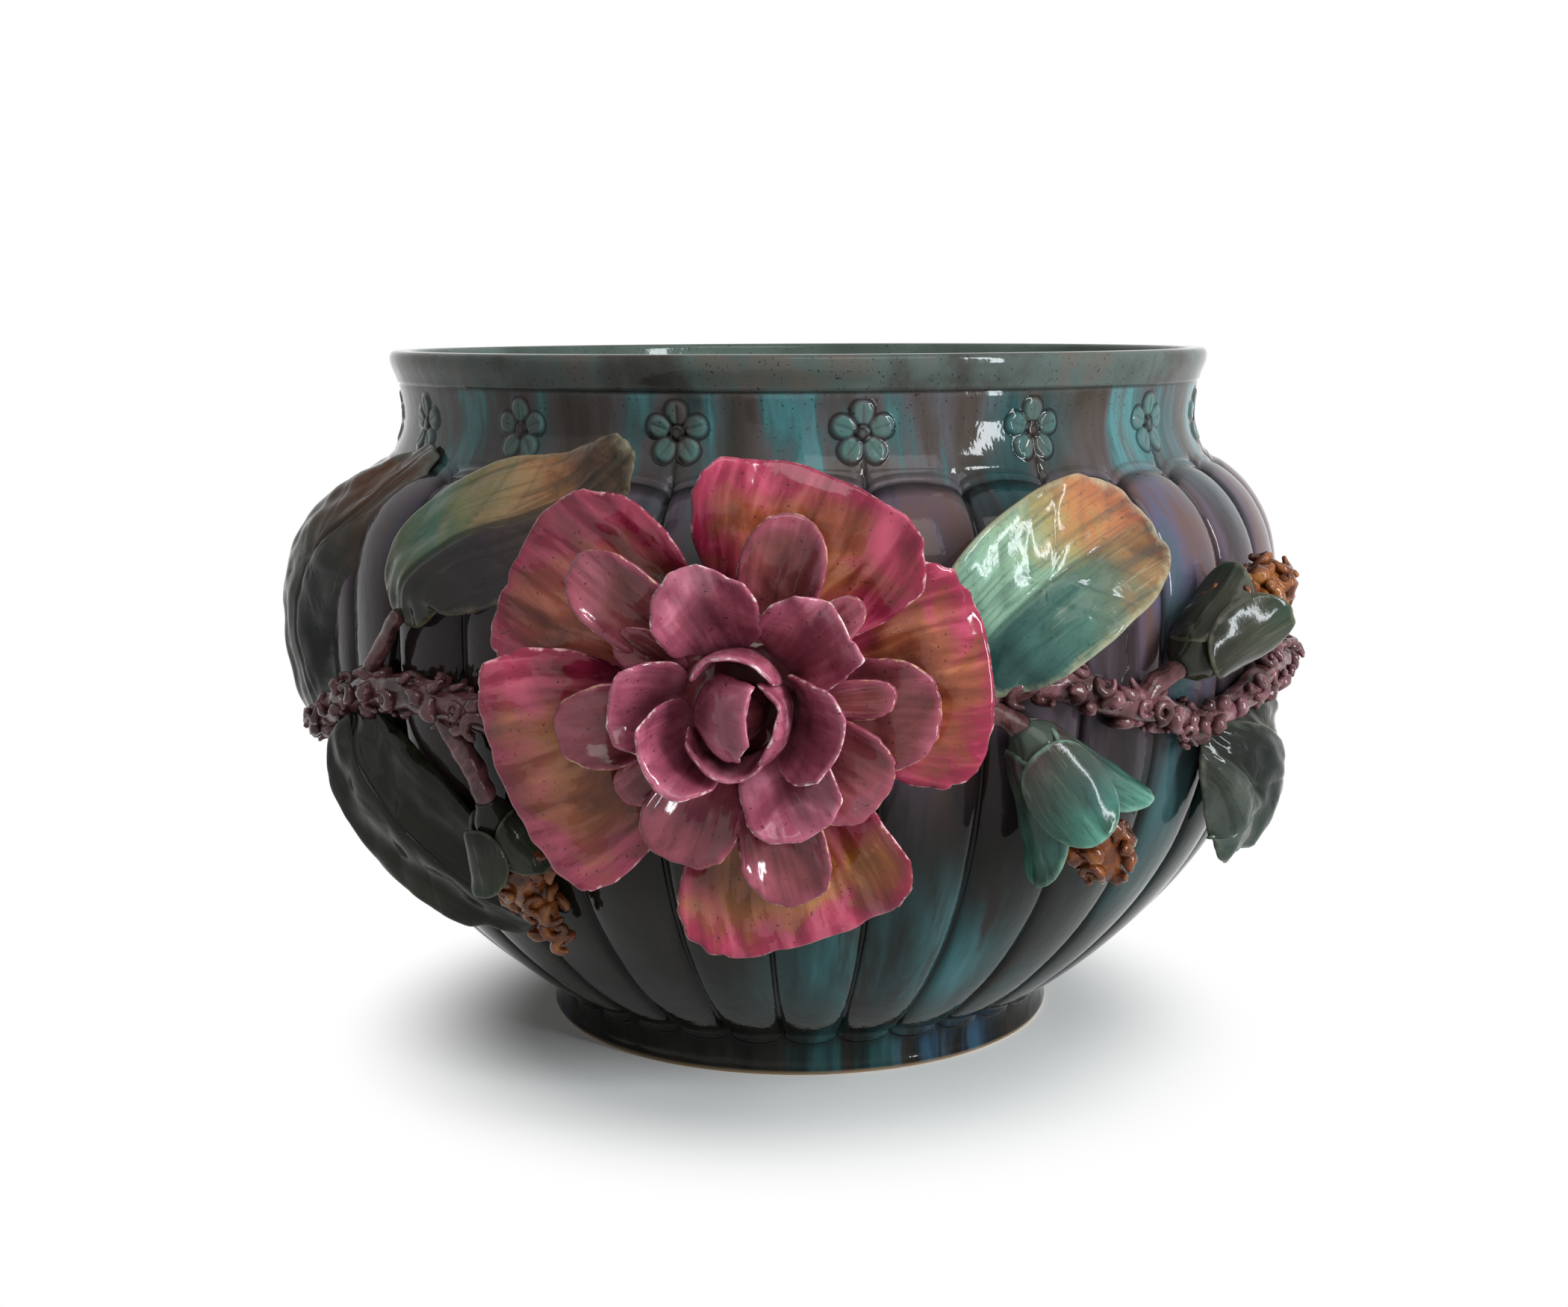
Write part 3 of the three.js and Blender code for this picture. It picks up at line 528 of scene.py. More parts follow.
TEAL_PLACES = [
    (13, -110, 60, 1.0), (24, 54, 24, 1.0), (48, -80, 75, 0.35), (4, -130, 45, 0.35), (10, -168, 30, 0.8),
    (62, 70, 60, 0.6), (-64, 66, 50, 0.4), (-12, 46, 30, 0.5), (30, -140, 50, 0.3), (120, -60, 90, 0.6),
    (170, 20, 90, 0.5), (-120, -20, 90, 0.6), (30, 80, 26, 1.0), (53, 80, 20, 0.6), (2, 80, 18, 0.9),
    (-13, 80, 24, 0.8),
]
BLUE_PLACES = [(31, -170, 26, 0.8), (40, -170, 22, 0.6), (-75, -172, 40, 0.4)]
# Painted shade: dark patches on the wall left of the flower and below it, where the light from the right
# leaves the glaze in shade.
PAINTED_SHADE_PLACES = [(-42, 0, 100, 0.75), (-24, -60, 60, 0.5), (20, -80, 60, 0.4)]


def wall_glaze():
    """Majolica glaze on the bowl: nearly black where it pools in the grooves and towards the foot, with
    teal, mauve and brown runs down the neck and shoulder, very glossy. The ring that it stands on is
    bare biscuit. The heights at which one tone gives way to the next are in metres."""
    material, tree, shader, place, marks = new_glaze(
        "running dark majolica glaze", *WALL_GLOSS, "thin", "inside", "pool", "biscuit")
    thin, inside, pool, biscuit = marks
    height = add(tree, "ShaderNodeSeparateXYZ", {0: place}).outputs["Z"]
    level = add(tree, "ShaderNodeVectorMath", {0: place, 1: (1, 1, 0)}, operation="MULTIPLY").outputs[0]
    way = add(tree, "ShaderNodeVectorMath", {0: level}, operation="NORMALIZE").outputs[0]
    girth = add(tree, "ShaderNodeVectorMath", {0: way, "Scale": BELLY_RADIUS / 1000}, operation="SCALE")
    upright = add(tree, "ShaderNodeCombineXYZ", {"Z": height}).outputs[0]
    wound = add(tree, "ShaderNodeVectorMath", {0: girth.outputs[0], 1: upright}, operation="ADD")
    around = wound.outputs[0]
    runs = patches(tree, around, RUN, (1, 1, 0.2), 4, 0.3)
    streaks = patches(tree, around, STREAK, (1, 1, 0.22), 5, 0.5, 5.1)
    broad = patches(tree, place, BROAD_PATCH, (1, 1, 0.5), 3, 0.3, 0.4)
    on_lip = patches(tree, around, LIP_PATCH, (1, 1, 0.8), 5, 0.3, 1.1)
    specks = patches(tree, place, WALL_SPECK, detail=1)
    rising = together(tree, (height, 1.0), (broad, 0.04))
    high_up = add(tree, "ShaderNodeMapRange", {
        "Value": height, "From Min": 0.225, "From Max": 0.27, "To Max": 0.75,
    }, interpolation_type="SMOOTHSTEP").outputs[0]
    dull = add(tree, "ShaderNodeMapRange", {
        "Value": biscuit, "From Min": 0.3, "From Max": 0.8, "To Max": 0.7,
    }, interpolation_type="SMOOTHSTEP").outputs[0]
    satin = together(tree, (patches(tree, place, WALL_SATIN, detail=3), 0.14), (dull, 1.0))
    tree.links.new(satin, shader.inputs["Roughness"])
    return fired(material, shader, [
        (LOW_WALL_TONES, runs),
        (SHOULDER_TONES, runs, rising, 0.12, 0.215),
        (NECK_TONES, runs, height, 0.234, 0.243),
        (TEAL_TONES, runs, streaks, 0.36, 0.56, spots(tree, place, TEAL_PLACES)),
        (BLUE_TONES, runs, streaks, 0.4, 0.6, spots(tree, place, BLUE_PLACES)),
        # painted shade left of the flower and below it
        ("#100e0c", None, None, 0, 1, spots(tree, place, PAINTED_SHADE_PLACES)),
        (LIP_TONES, on_lip, height, 0.2675, 0.2715),
        (BAND_FLOWER_TONES, runs, None, 0, 1, together(tree, (thin, 0.75))),
        (INSIDE_TONES, broad, None, 0, 1, inside),
        ("#0c0c0b", None, None, 0, 1, together(tree, (pool, 0.88))),
        ("#14130f", None, specks, 0.66, 0.74, high_up),
        ("#a78c6c", None, None, 0, 1, biscuit),
    ], patches(tree, place, WALL_SKIN, (1, 1, 0.6), 3), 0.14, 1.2)


def petal_glaze(name, tones, streaked):
    """Thin glaze brushed over a clay petal: soft streaks fan out from the root, the root's half is
    warmer, whitish patches show where the glaze is thin, and it has run off the rim, which is paler.
    On a petal with a strong pale tint these patches are a painted highlight."""
    material, tree, shader, place, marks = new_glaze(
        name, *PETAL_GLOSS, "along", "across", "rim", "warm", "pale", "dusk", "seed")
    along, across, rim, warm, pale, dusk, seed = marks
    streaks = brush_strokes(tree, across, along, seed, (7.0, 1.6), 4.0, 0.5, 0.4)
    patchy = patches(tree, place, PETAL_PATCH, detail=4, wander=0.7, shift=1.7)
    blend = together(tree, (streaks, streaked), (patchy, 1 - streaked))
    ripe = together(tree, (patchy, 0.8), (rim, 0.42))
    thin = together(tree, (streaks, 1.0), (patches(tree, place, PETAL_THIN, detail=3, shift=6.1), 1.0))
    smeared = patches(tree, place, PETAL_SMEAR, (1, 1, 0.5), 3, 1.0, 9.2)
    whitish = add(tree, "ShaderNodeMath", {0: pale, 1: 0.8}, operation="MULTIPLY").outputs[0]
    border = together(tree, (rim, 1.0), (patchy, 0.2))
    edge = together(tree, (rim, 0.9), (patches(tree, place, PETAL_WEAR, detail=3, shift=2.2), 0.1))
    specks = patches(tree, place, PETAL_SPECK, detail=1, shift=8.8)
    return fired(material, shader, [
        ([(0.36, tones["deep"]), (0.5, tones["body"]), (0.62, tones["light"])], blend),
        ([(0.32, tones["warm_deep"]), (0.5, tones["warm"]), (0.66, tones["warm_light"])], blend,
         ripe, 0.78, 0.56, warm),
        (tones["pale"], None, thin, 0.98, 1.13, whitish),
        (tones["smear"], None, smeared, 0.58, 0.7, together(tree, (dusk, 0.6))),
        (tones["dusk"], None, rim, 0.55, 0.1, dusk),
        (tones["margin"], None, border, 0.96, 1.08, 0.75),
        (tones["rim"], None, edge, 0.942, 0.962, 0.8),
        ("#2a1216", None, specks, 0.69, 0.75, 0.7),
    ], blend, 0.25, 1.5)


def leaf_glaze(name, left, right, vein, edge, spotted, border=(0.9, 1.06)):
    """Leaf-green majolica glaze, brushed on in zones along either half of the leaf that ran into each
    other before it set: thin over the veins and the rim, crazed and specked with iron."""
    material, tree, shader, place, marks = new_glaze(
        name, *LEAF_GLOSS, "along", "across", "rim", "vein", "seed")
    along, across, rim, veins, seed = marks
    flow = patches(tree, place, LEAF_FLOW, detail=5, wander=0.8, shift=0.9)
    drift = add(tree, "ShaderNodeMapRange", {"Value": flow, "To Min": -0.2, "To Max": 0.2}).outputs[0]
    spot = add(tree, "ShaderNodeMath", {0: along, 1: drift}, operation="ADD").outputs[0]
    side = add(tree, "ShaderNodeMath", {0: drift, 1: 0.5, 2: across}, operation="MULTIPLY_ADD").outputs[0]
    strokes = brush_strokes(tree, across, along, seed, (9.0, 2.0), 5.0, 0.6, 0.6)
    worn = together(tree, (rim, 0.9), (patches(tree, place, LEAF_WEAR, detail=3), 0.2))
    specks = patches(tree, place, LEAF_SPECK, detail=2, shift=7.7)
    cracks = add(tree, "ShaderNodeTexVoronoi", {
        "Vector": place, "Scale": CRACKS_PER_METRE,
    }, feature="DISTANCE_TO_EDGE").outputs["Distance"]
    return fired(material, shader, [
        (left, spot),
        (right, spot, side, -0.06, 0.1),
        (vein, None, strokes, 0.52, 0.36, 0.45),
        (edge, None, strokes, 0.58, 0.74, 0.35),
        (vein, None, None, 0, 1, together(tree, (veins, 0.7))),
        (edge, None, worn, *border, 0.8),
        ("#2a1f17", None, specks, 0.64, 0.72, spotted),
        ("#2b2f28", None, cracks, 0.03, 0.0, 0.15),
    ], patches(tree, place, LEAF_WEAR, detail=3), 0.15, 1.0)


def clay_glaze(name, tones, size):
    """Glaze over rough modelled clay: its tones, from deep to light, lie in random patches."""
    material, tree, shader, place, _ = new_glaze(name, *CLAY_GLOSS)
    patchy = patches(tree, place, size, detail=5, wander=0.6)
    specks = patches(tree, place, CLAY_SPECK, detail=2, shift=4.4)
    return fired(material, shader, [
        ([(0.3 + 0.14 * index, tone) for index, tone in enumerate(tones)], patchy),
        ("#1a1412", None, specks, 0.62, 0.7, 0.3),
    ], patches(tree, place, CLAY_SKIN, detail=4), 0.3, 1.2)


# The bowl: dark and wet, with runs of colour that the window's light slides along.
WALL_GLAZE = wall_glaze()
# The broad outer petals: wet crimson that turns ochre towards the root, with a pale worn rim.
CRIMSON = petal_glaze("crimson majolica glaze on petals", {
    "deep": "#541120", "body": "#7e2037", "light": "#a94259", "warm_deep": "#52250f", "warm": "#8f5824",
    "warm_light": "#c2923f", "pale": "#dcaab4", "smear": "#43302a", "dusk": "#3a181a", "margin": "#931e44",
    "rim": "#cf9aa0",
}, 0.5)
# The petals between, the pad and the heart: an even, dusty mauve.
MAUVE = petal_glaze("mauve majolica glaze on petals", {
    "deep": "#5c2630", "body": "#7e3c47", "light": "#96525e", "warm_deep": "#5c3024", "warm": "#7c4336",
    "warm_light": "#935a47", "pale": "#b5808a", "smear": "#4d4143", "dusk": "#3c1d26", "margin": "#8c3450",
    "rim": "#bd9474",
}, 0.25)
# The petals in the middle: a softer and paler rose, nearly white along the rim.
ROSE = petal_glaze("rose majolica glaze on petals", {
    "deep": "#6e3244", "body": "#934a5c", "light": "#b06a7c", "warm_deep": "#642e38", "warm": "#8a444e",
    "warm_light": "#a7646f", "pale": "#cb9ca8", "smear": "#59434c", "dusk": "#4a2530", "margin": "#a0506a",
    "rim": "#e0ccc6",
}, 0.25)
# Leaves and sepals take tones from root to tip on the left half, then on the right, then of veins and
# rim. The right leaf: wet mint green that runs out into rust brown at its tip.
MINT = leaf_glaze("mint green majolica glaze on a leaf", [
    (0.1, "#4c6e60"), (0.3, "#74937e"), (0.5, "#758f76"), (0.66, "#8a7b50"), (0.8, "#9c6743"),
    (0.95, "#874b33"),
], [
    (0.05, "#213c39"), (0.25, "#31524c"), (0.5, "#426257"), (0.7, "#585f4d"), (0.85, "#7a5b3c"),
    (0.97, "#573726"),
], "#22393a", "#a5a083", 0.4)
# The upper left leaf: mottled, from olive through sea green to ochre and a burnt tip. Its half that
# folds down is a darker grey mauve: partly the glaze's own colour, partly painted shade.
OLIVE_TO_OCHRE = leaf_glaze("olive and ochre majolica glaze on a leaf", [
    (0.05, "#292b1b"), (0.25, "#4c5a3c"), (0.36, "#4c6e5c"), (0.46, "#71744f"), (0.6, "#9c7d5a"),
    (0.75, "#8f6242"), (0.86, "#583a28"), (0.95, "#1e1611"),
], [
    (0.05, "#20221b"), (0.3, "#302d2c"), (0.5, "#3b343a"), (0.7, "#50423c"), (0.85, "#5a4738"),
    (0.97, "#241b15"),
], "#22261c", "#8a7f68", 0.4)
# The far left leaf: nearly black olive that warms to brown, with a dull grey rim, wider than on
# the other leaves: worn glaze, and a painted highlight along its rolled lip.
BROWN_OLIVE = leaf_glaze("brown olive majolica glaze on a leaf", [
    (0.05, "#161610"), (0.3, "#23241b"), (0.5, "#343122"), (0.68, "#4a3221"), (0.85, "#5f3b26"),
    (0.97, "#3e281c"),
], [
    (0.05, "#121413"), (0.3, "#1c2020"), (0.55, "#2c2e29"), (0.75, "#403125"), (0.95, "#563a26"),
], "#141610", "#6a6f69", 0.3, (0.84, 1.0))
# The leaves in the bowl's shadow: dark olive glaze, painted nearly black as shade, so that little but
# its gloss shows.
DARK_OLIVE = leaf_glaze("dark olive majolica glaze on a leaf", [
    (0.05, "#141310"), (0.3, "#1f2117"), (0.55, "#23261c"), (0.8, "#1b1b16"),
], [
    (0.05, "#191813"), (0.35, "#21221c"), (0.65, "#282b1f"), (0.9, "#1a1a16"),
], "#0e0f0a", "#434738", 0.2)
# The lower right leaf: deep green. The half that turns away from the light is painted darker as shade,
# and the half that faces it is painted lighter and greyer.
DEEP_GREEN = leaf_glaze("deep green majolica glaze on a leaf", [
    (0.05, "#1d1e1a"), (0.4, "#161a17"), (0.7, "#19241f"), (0.95, "#223329"),
], [
    (0.05, "#2b2d27"), (0.35, "#363b34"), (0.65, "#3f4842"), (0.95, "#2f3c34"),
], "#131511", "#5c6154", 0.2)
# The lower right bud: brownish grey at the root that clears to sea green.
GREY_GREEN = leaf_glaze("grey green majolica glaze on sepals", [
    (0.05, "#3f302f"), (0.25, "#41443c"), (0.5, "#364a42"), (0.75, "#385f54"), (0.95, "#4d7f70"),
], [
    (0.05, "#3a2e2c"), (0.25, "#373c34"), (0.5, "#324742"), (0.75, "#386157"), (0.95, "#224436"),
], "#1f2a25", "#7a9a88", 0.2)
# The other buds: an even olive grey.
OLIVE_GREY = leaf_glaze("olive grey majolica glaze on sepals", [
    (0.05, "#24231c"), (0.35, "#2f3027"), (0.7, "#383a30"), (0.95, "#343d31"),
], [
    (0.05, "#20201a"), (0.35, "#2a2b24"), (0.7, "#333529"), (0.95, "#293a2f"),
], "#191a14", "#6a6856", 0.2)
# Curls of clay take tones from deep to light, in random patches. Bark: wet purple brown.
BARK = clay_glaze("purple brown glaze on modelled bark", ["#2a1716", "#4a2c2c", "#664044", "#86646a"], 12)
# Stamens: amber that is nearly black in the hollows between them.
AMBER = clay_glaze("amber glaze on curled stamens", ["#2e170d", "#552b17", "#7a4522", "#95602f"], 9)

# ---------------------------------------------------------------- bowl

ROUND = copies_round_axis()
COLUMNS = 14


def lobe_sector():
    """Two of the bowl's lobes from groove to groove, with their slice of foot, neck, lip and inside. The
    stem of a neck flower is engraved above the groove that they start from."""
    u = -np.cos(np.pi * np.arange(COLUMNS + 1) / COLUMNS)
    lobe = np.concatenate([np.zeros(COLUMNS), np.ones(COLUMNS + 1)])
    u = np.concatenate([u[:-1], u])
    crown = np.sqrt(np.clip(1 - u**2, 0, 1))
    turns = lobe + (u + 1) / 2
    azimuth = LOBE_TURN + turns * 360 / LOBE_COUNT
    from_stem = np.radians(np.minimum(turns, 2 - turns) * 360 / LOBE_COUNT) * NECK_RADIUS
    stem = np.exp(-((from_stem / 0.8) ** 2))
    flat = np.ones_like(u)
    rows = []

    def ring(radius, height, pool=0.0, inside=0.0, biscuit=0.0):
        rows.append([part * flat for part in (radius, height, pool, inside, biscuit)])

    for radius, height, bare in [
        (30, 5, 0), (62, 5, 0), (88, 5, 0), (91, 4.8, 0), (93, 3.2, 0), (94.4, 0.7, 0.4), (95.4, 0, 1),
        (101, 0, 1), (106.6, 0, 1), (107.8, 0.3, 1), (108.4, 1.1, 0.4), (108.6, 2.2, 0),
    ]:
        ring(radius, height, biscuit=bare)
    scallop = FOOT_HEIGHT + 2 - SCALLOP_DROP * crown
    for t in np.linspace(0, 1, 7)[1:]:
        ring(FOOT_RADIUS - 0.9 * math.sin(math.pi * t), mix(2.2, scallop, t), pool=0.9 * t**4)
    for t in np.linspace(0, math.pi / 2, 5)[1:]:
        ring(FOOT_RADIUS + 3 * crown * math.sin(t), scallop + 2 * (1 - math.cos(t)), pool=0.8 * math.cos(t))
    start = scallop + 2
    shoulder_top, _, band_foot, _ = GLAZED_SHOULDER
    arch = shoulder_top - ARCH_RISE * (1 - crown)
    groove = np.exp(-(((1 - np.abs(u)) / 0.06) ** 2))
    shares = np.concatenate([
        np.linspace(0, 0.03, 6)[1:], np.linspace(0.03, 0.93, 54)[1:], np.linspace(0.93, 1, 14)[1:],
    ])
    for t in shares:
        height = mix(start, arch, t)
        top = np.clip((height - (arch - 11)) / 11, 0, 1)
        rounded = 3 * (1 - np.sqrt(1 - top**2))
        wall = glazed_radius(height) - GROOVE_DEPTH * (1 - crown) - groove - rounded
        radius = mix(FOOT_RADIUS + 3 * crown, wall, smooth(t, 0, 0.02))
        pool = np.clip(np.exp(-(((1 - np.abs(u)) / 0.07) ** 2)) + 0.9 * smooth(t, 0.985, 1), 0, 1)
        ring(radius, height, pool)
    foot = rows[-1][0]
    for d in [0.4, 0.8, 1.2, 1.6, 2.0, 2.4, 2.8, 3.2, 3.6, 4.0, 4.4]:
        share = d / (band_foot - arch)
        ridge = 0.5 * math.exp(-(((d - 2.2) / 0.8) ** 2)) - 0.5 * stem * smooth(d, 0.8, 1.6)
        pool = np.maximum(math.exp(-((d / 0.9) ** 2)) + 0.4 * math.exp(-(((d - 3.6) / 0.5) ** 2)), 0.9 * stem)
        ring(COVE_RADIUS + (foot - COVE_RADIUS) * (1 - share) ** 1.5 + ridge, arch + d, pool)
    last = rows[-1][1]
    for t in (0.3, 0.6, 1.0):
        height = mix(last, band_foot, t)
        share = (height - arch) / (band_foot - arch)
        ring(COVE_RADIUS + (foot - COVE_RADIUS) * (1 - share) ** 1.5 - 0.5 * stem, height, 0.9 * stem)
    for height in [243.8, 244.8, 246, 247.5, 249.5, 252, 256, 260, 264, 267, 268.6]:
        low = smooth(247 - height, 0, 1.5) * stem
        ring(glazed_radius(height) - 0.5 * low, height, 0.9 * low)
    under_lip = glazed_radius(LIP_FOOT)
    ring(under_lip - 0.5, 269.2, 0.7)
    ring(under_lip - 0.3, 269.7, 0.5)
    for t in np.linspace(0, 1, 10):
        ring(mix(under_lip + 0.3, RIM_RADIUS, smooth(t, -0.15, 0.95)), mix(270.1, 280, t))
    for t in np.linspace(0, math.pi / 2, 5)[1:]:
        ring(RIM_RADIUS - 2.5 + 2.5 * math.cos(t), 280 + 2.5 * math.sin(t))
    ring(165.8, 282.5, inside=0.1)
    for t in np.linspace(0, math.pi / 2, 5):
        ring(163.5 - 2.5 * math.sin(t), 280 + 2.5 * math.cos(t), inside=0.3 + 0.4 * math.sin(t))
    for radius, height in [
        (159.9, 275), (158.7, 269), (157.3, 262), (156.6, 257), (156.8, 251), (158, 245), (160.3, 238),
        (164.6, 232), (169, 226),
    ]:
        ring(radius, height, inside=1)
    for height in np.linspace(216, 38, 20):
        ring(wall_radius(height) - WALL, height, inside=1)
    for radius, height in [(115, 31), (103, 26), (94, 21.4), (86.5, 17.8), (79, 15.8), (70, 15), (36, 15)]:
        ring(radius, height, inside=1)

    rows = np.array(rows)
    ways = outward(azimuth)
    points = rows[:, 0, :, None] * ways[None]
    points[..., 2] = rows[:, 1]
    count = len(u)
    quads = grid(len(rows), count, 1, closed=False)
    points = np.concatenate([[[0, 0, 5.0]], points.reshape(-1, 3), [[0, 0, 15.0]]])
    last = len(points) - 1
    first_ring = 1 + np.arange(count - 1)
    last_ring = last - count + np.arange(count - 1)
    triangles = np.concatenate([
        np.stack([np.zeros(count - 1, int), first_ring + 1, first_ring], -1),
        np.stack([np.full(count - 1, last), last_ring, last_ring + 1], -1),
    ])
    marks = {
        label: np.concatenate([[ends[0]], rows[:, index].ravel(), [ends[1]]])
        for label, index, ends in (("pool", 2, (0, 0)), ("inside", 3, (0, 1)), ("biscuit", 4, (0, 0)))
    }
    return make_mesh("lobe sector", points, quads, triangles, marks, local=True)


bowl = grow("glazed_bowl", lobe_sector(), ROUND, {
    "Count": LOBE_COUNT // 2, "Centre": tuple(AXIS), "Join Distance": MEETING, "Unevenness": UNEVEN,
    "Lump Scale": LUMPS_PER_METRE, "Glaze": WALL_GLAZE,
})
place_piece("glazed_bowl", bowl, "bowl_glaze", "bowl")


# ---------------------------------------------------------------- relief flowers on the neck band


def band_flower():
    """One small flower in low relief, with a dark line sunk round each of its petals. Outside that line
    it dives under the neck."""
    across, height = np.meshgrid(np.arange(-15, 15.01, 0.5), np.arange(243.5, 267.51, 0.5))
    up = height - 255.3
    far = np.hypot(across, up)
    turn = (np.arctan2(across, up) / (2 * math.pi / 5) + 0.5) % 1 - 0.5
    out = far * np.cos(turn * 2 * math.pi / 5) - 6.8
    side = far * np.sin(turn * 2 * math.pi / 5)
    edge = 4.2 * (1 - np.hypot(out / 4.8, side / (4.2 + 0.14 * out)))
    lift = -0.6 + 0.75 * smooth(edge, -1.5, -0.8) + 0.9 * smooth(edge, -0.3, 1.6)
    lift -= 0.25 * np.exp(-((side / 0.4) ** 2)) * smooth(edge, 0.5, 2)
    disc = smooth(3.0 - far, 0, 0.8)
    lift = np.maximum(lift, mix(-0.6, 1.25 * np.sqrt(np.clip(1 - (far / 4.5) ** 2, 0, 1)), disc))
    pool = np.clip(np.exp(-(((edge + 0.35) / 0.55) ** 2)) + np.exp(-(((far - 3.1) / 0.5) ** 2)), 0, 1)
    pool = np.maximum(pool, 0.35 * np.exp(-((side / 0.35) ** 2)) * smooth(edge, 0.5, 2))
    thin = 0.5 * smooth(edge, 0.2, 1.2)
    radius = glazed_radius(height)
    azimuth = LOBE_TURN + np.degrees(across / NECK_RADIUS)
    front = outward(azimuth) * (radius + lift)[..., None]
    back = outward(azimuth) * (radius - 2.2)[..., None]
    front[..., 2] = height
    back[..., 2] = height
    rows, columns = far.shape
    size = rows * columns
    points = np.concatenate([front.reshape(-1, 3), back.reshape(-1, 3)])
    faces = grid(rows, columns, 0, closed=False)
    loop = np.concatenate([
        np.arange(columns), np.arange(1, rows) * columns + columns - 1,
        (rows - 1) * columns + np.arange(columns - 2, -1, -1), np.arange(rows - 2, 0, -1) * columns,
    ])
    after = np.roll(loop, -1)
    walls = np.stack([after, loop, loop + size, after + size], -1)
    quads = np.concatenate([faces, faces[:, ::-1] + size, walls])
    quads, triangles = outwards(points, quads, np.zeros((0, 3), int))
    blank = np.zeros(size)
    marks = {
        "pool": np.concatenate([pool.ravel(), blank]), "thin": np.concatenate([thin.ravel(), blank]),
        "inside": 0.0, "biscuit": 0.0,
    }
    return make_mesh("band flower", points, quads, triangles, marks, local=True)


flowers = grow("neck_flowers", band_flower(), ROUND, {
    "Count": FLOWER_COUNT, "Centre": tuple(AXIS), "Join Distance": MEETING, "Unevenness": UNEVEN,
    "Lump Scale": LUMPS_PER_METRE, "Glaze": WALL_GLAZE,
})
place_piece("neck_flowers", flowers, "bowl_glaze")

# ---------------------------------------------------------------- thin modelled clay


def power(value, square):
    """Draws a circle's sine or cosine out towards a rounded square."""
    return np.sign(value) * np.abs(value) ** (2 / square)


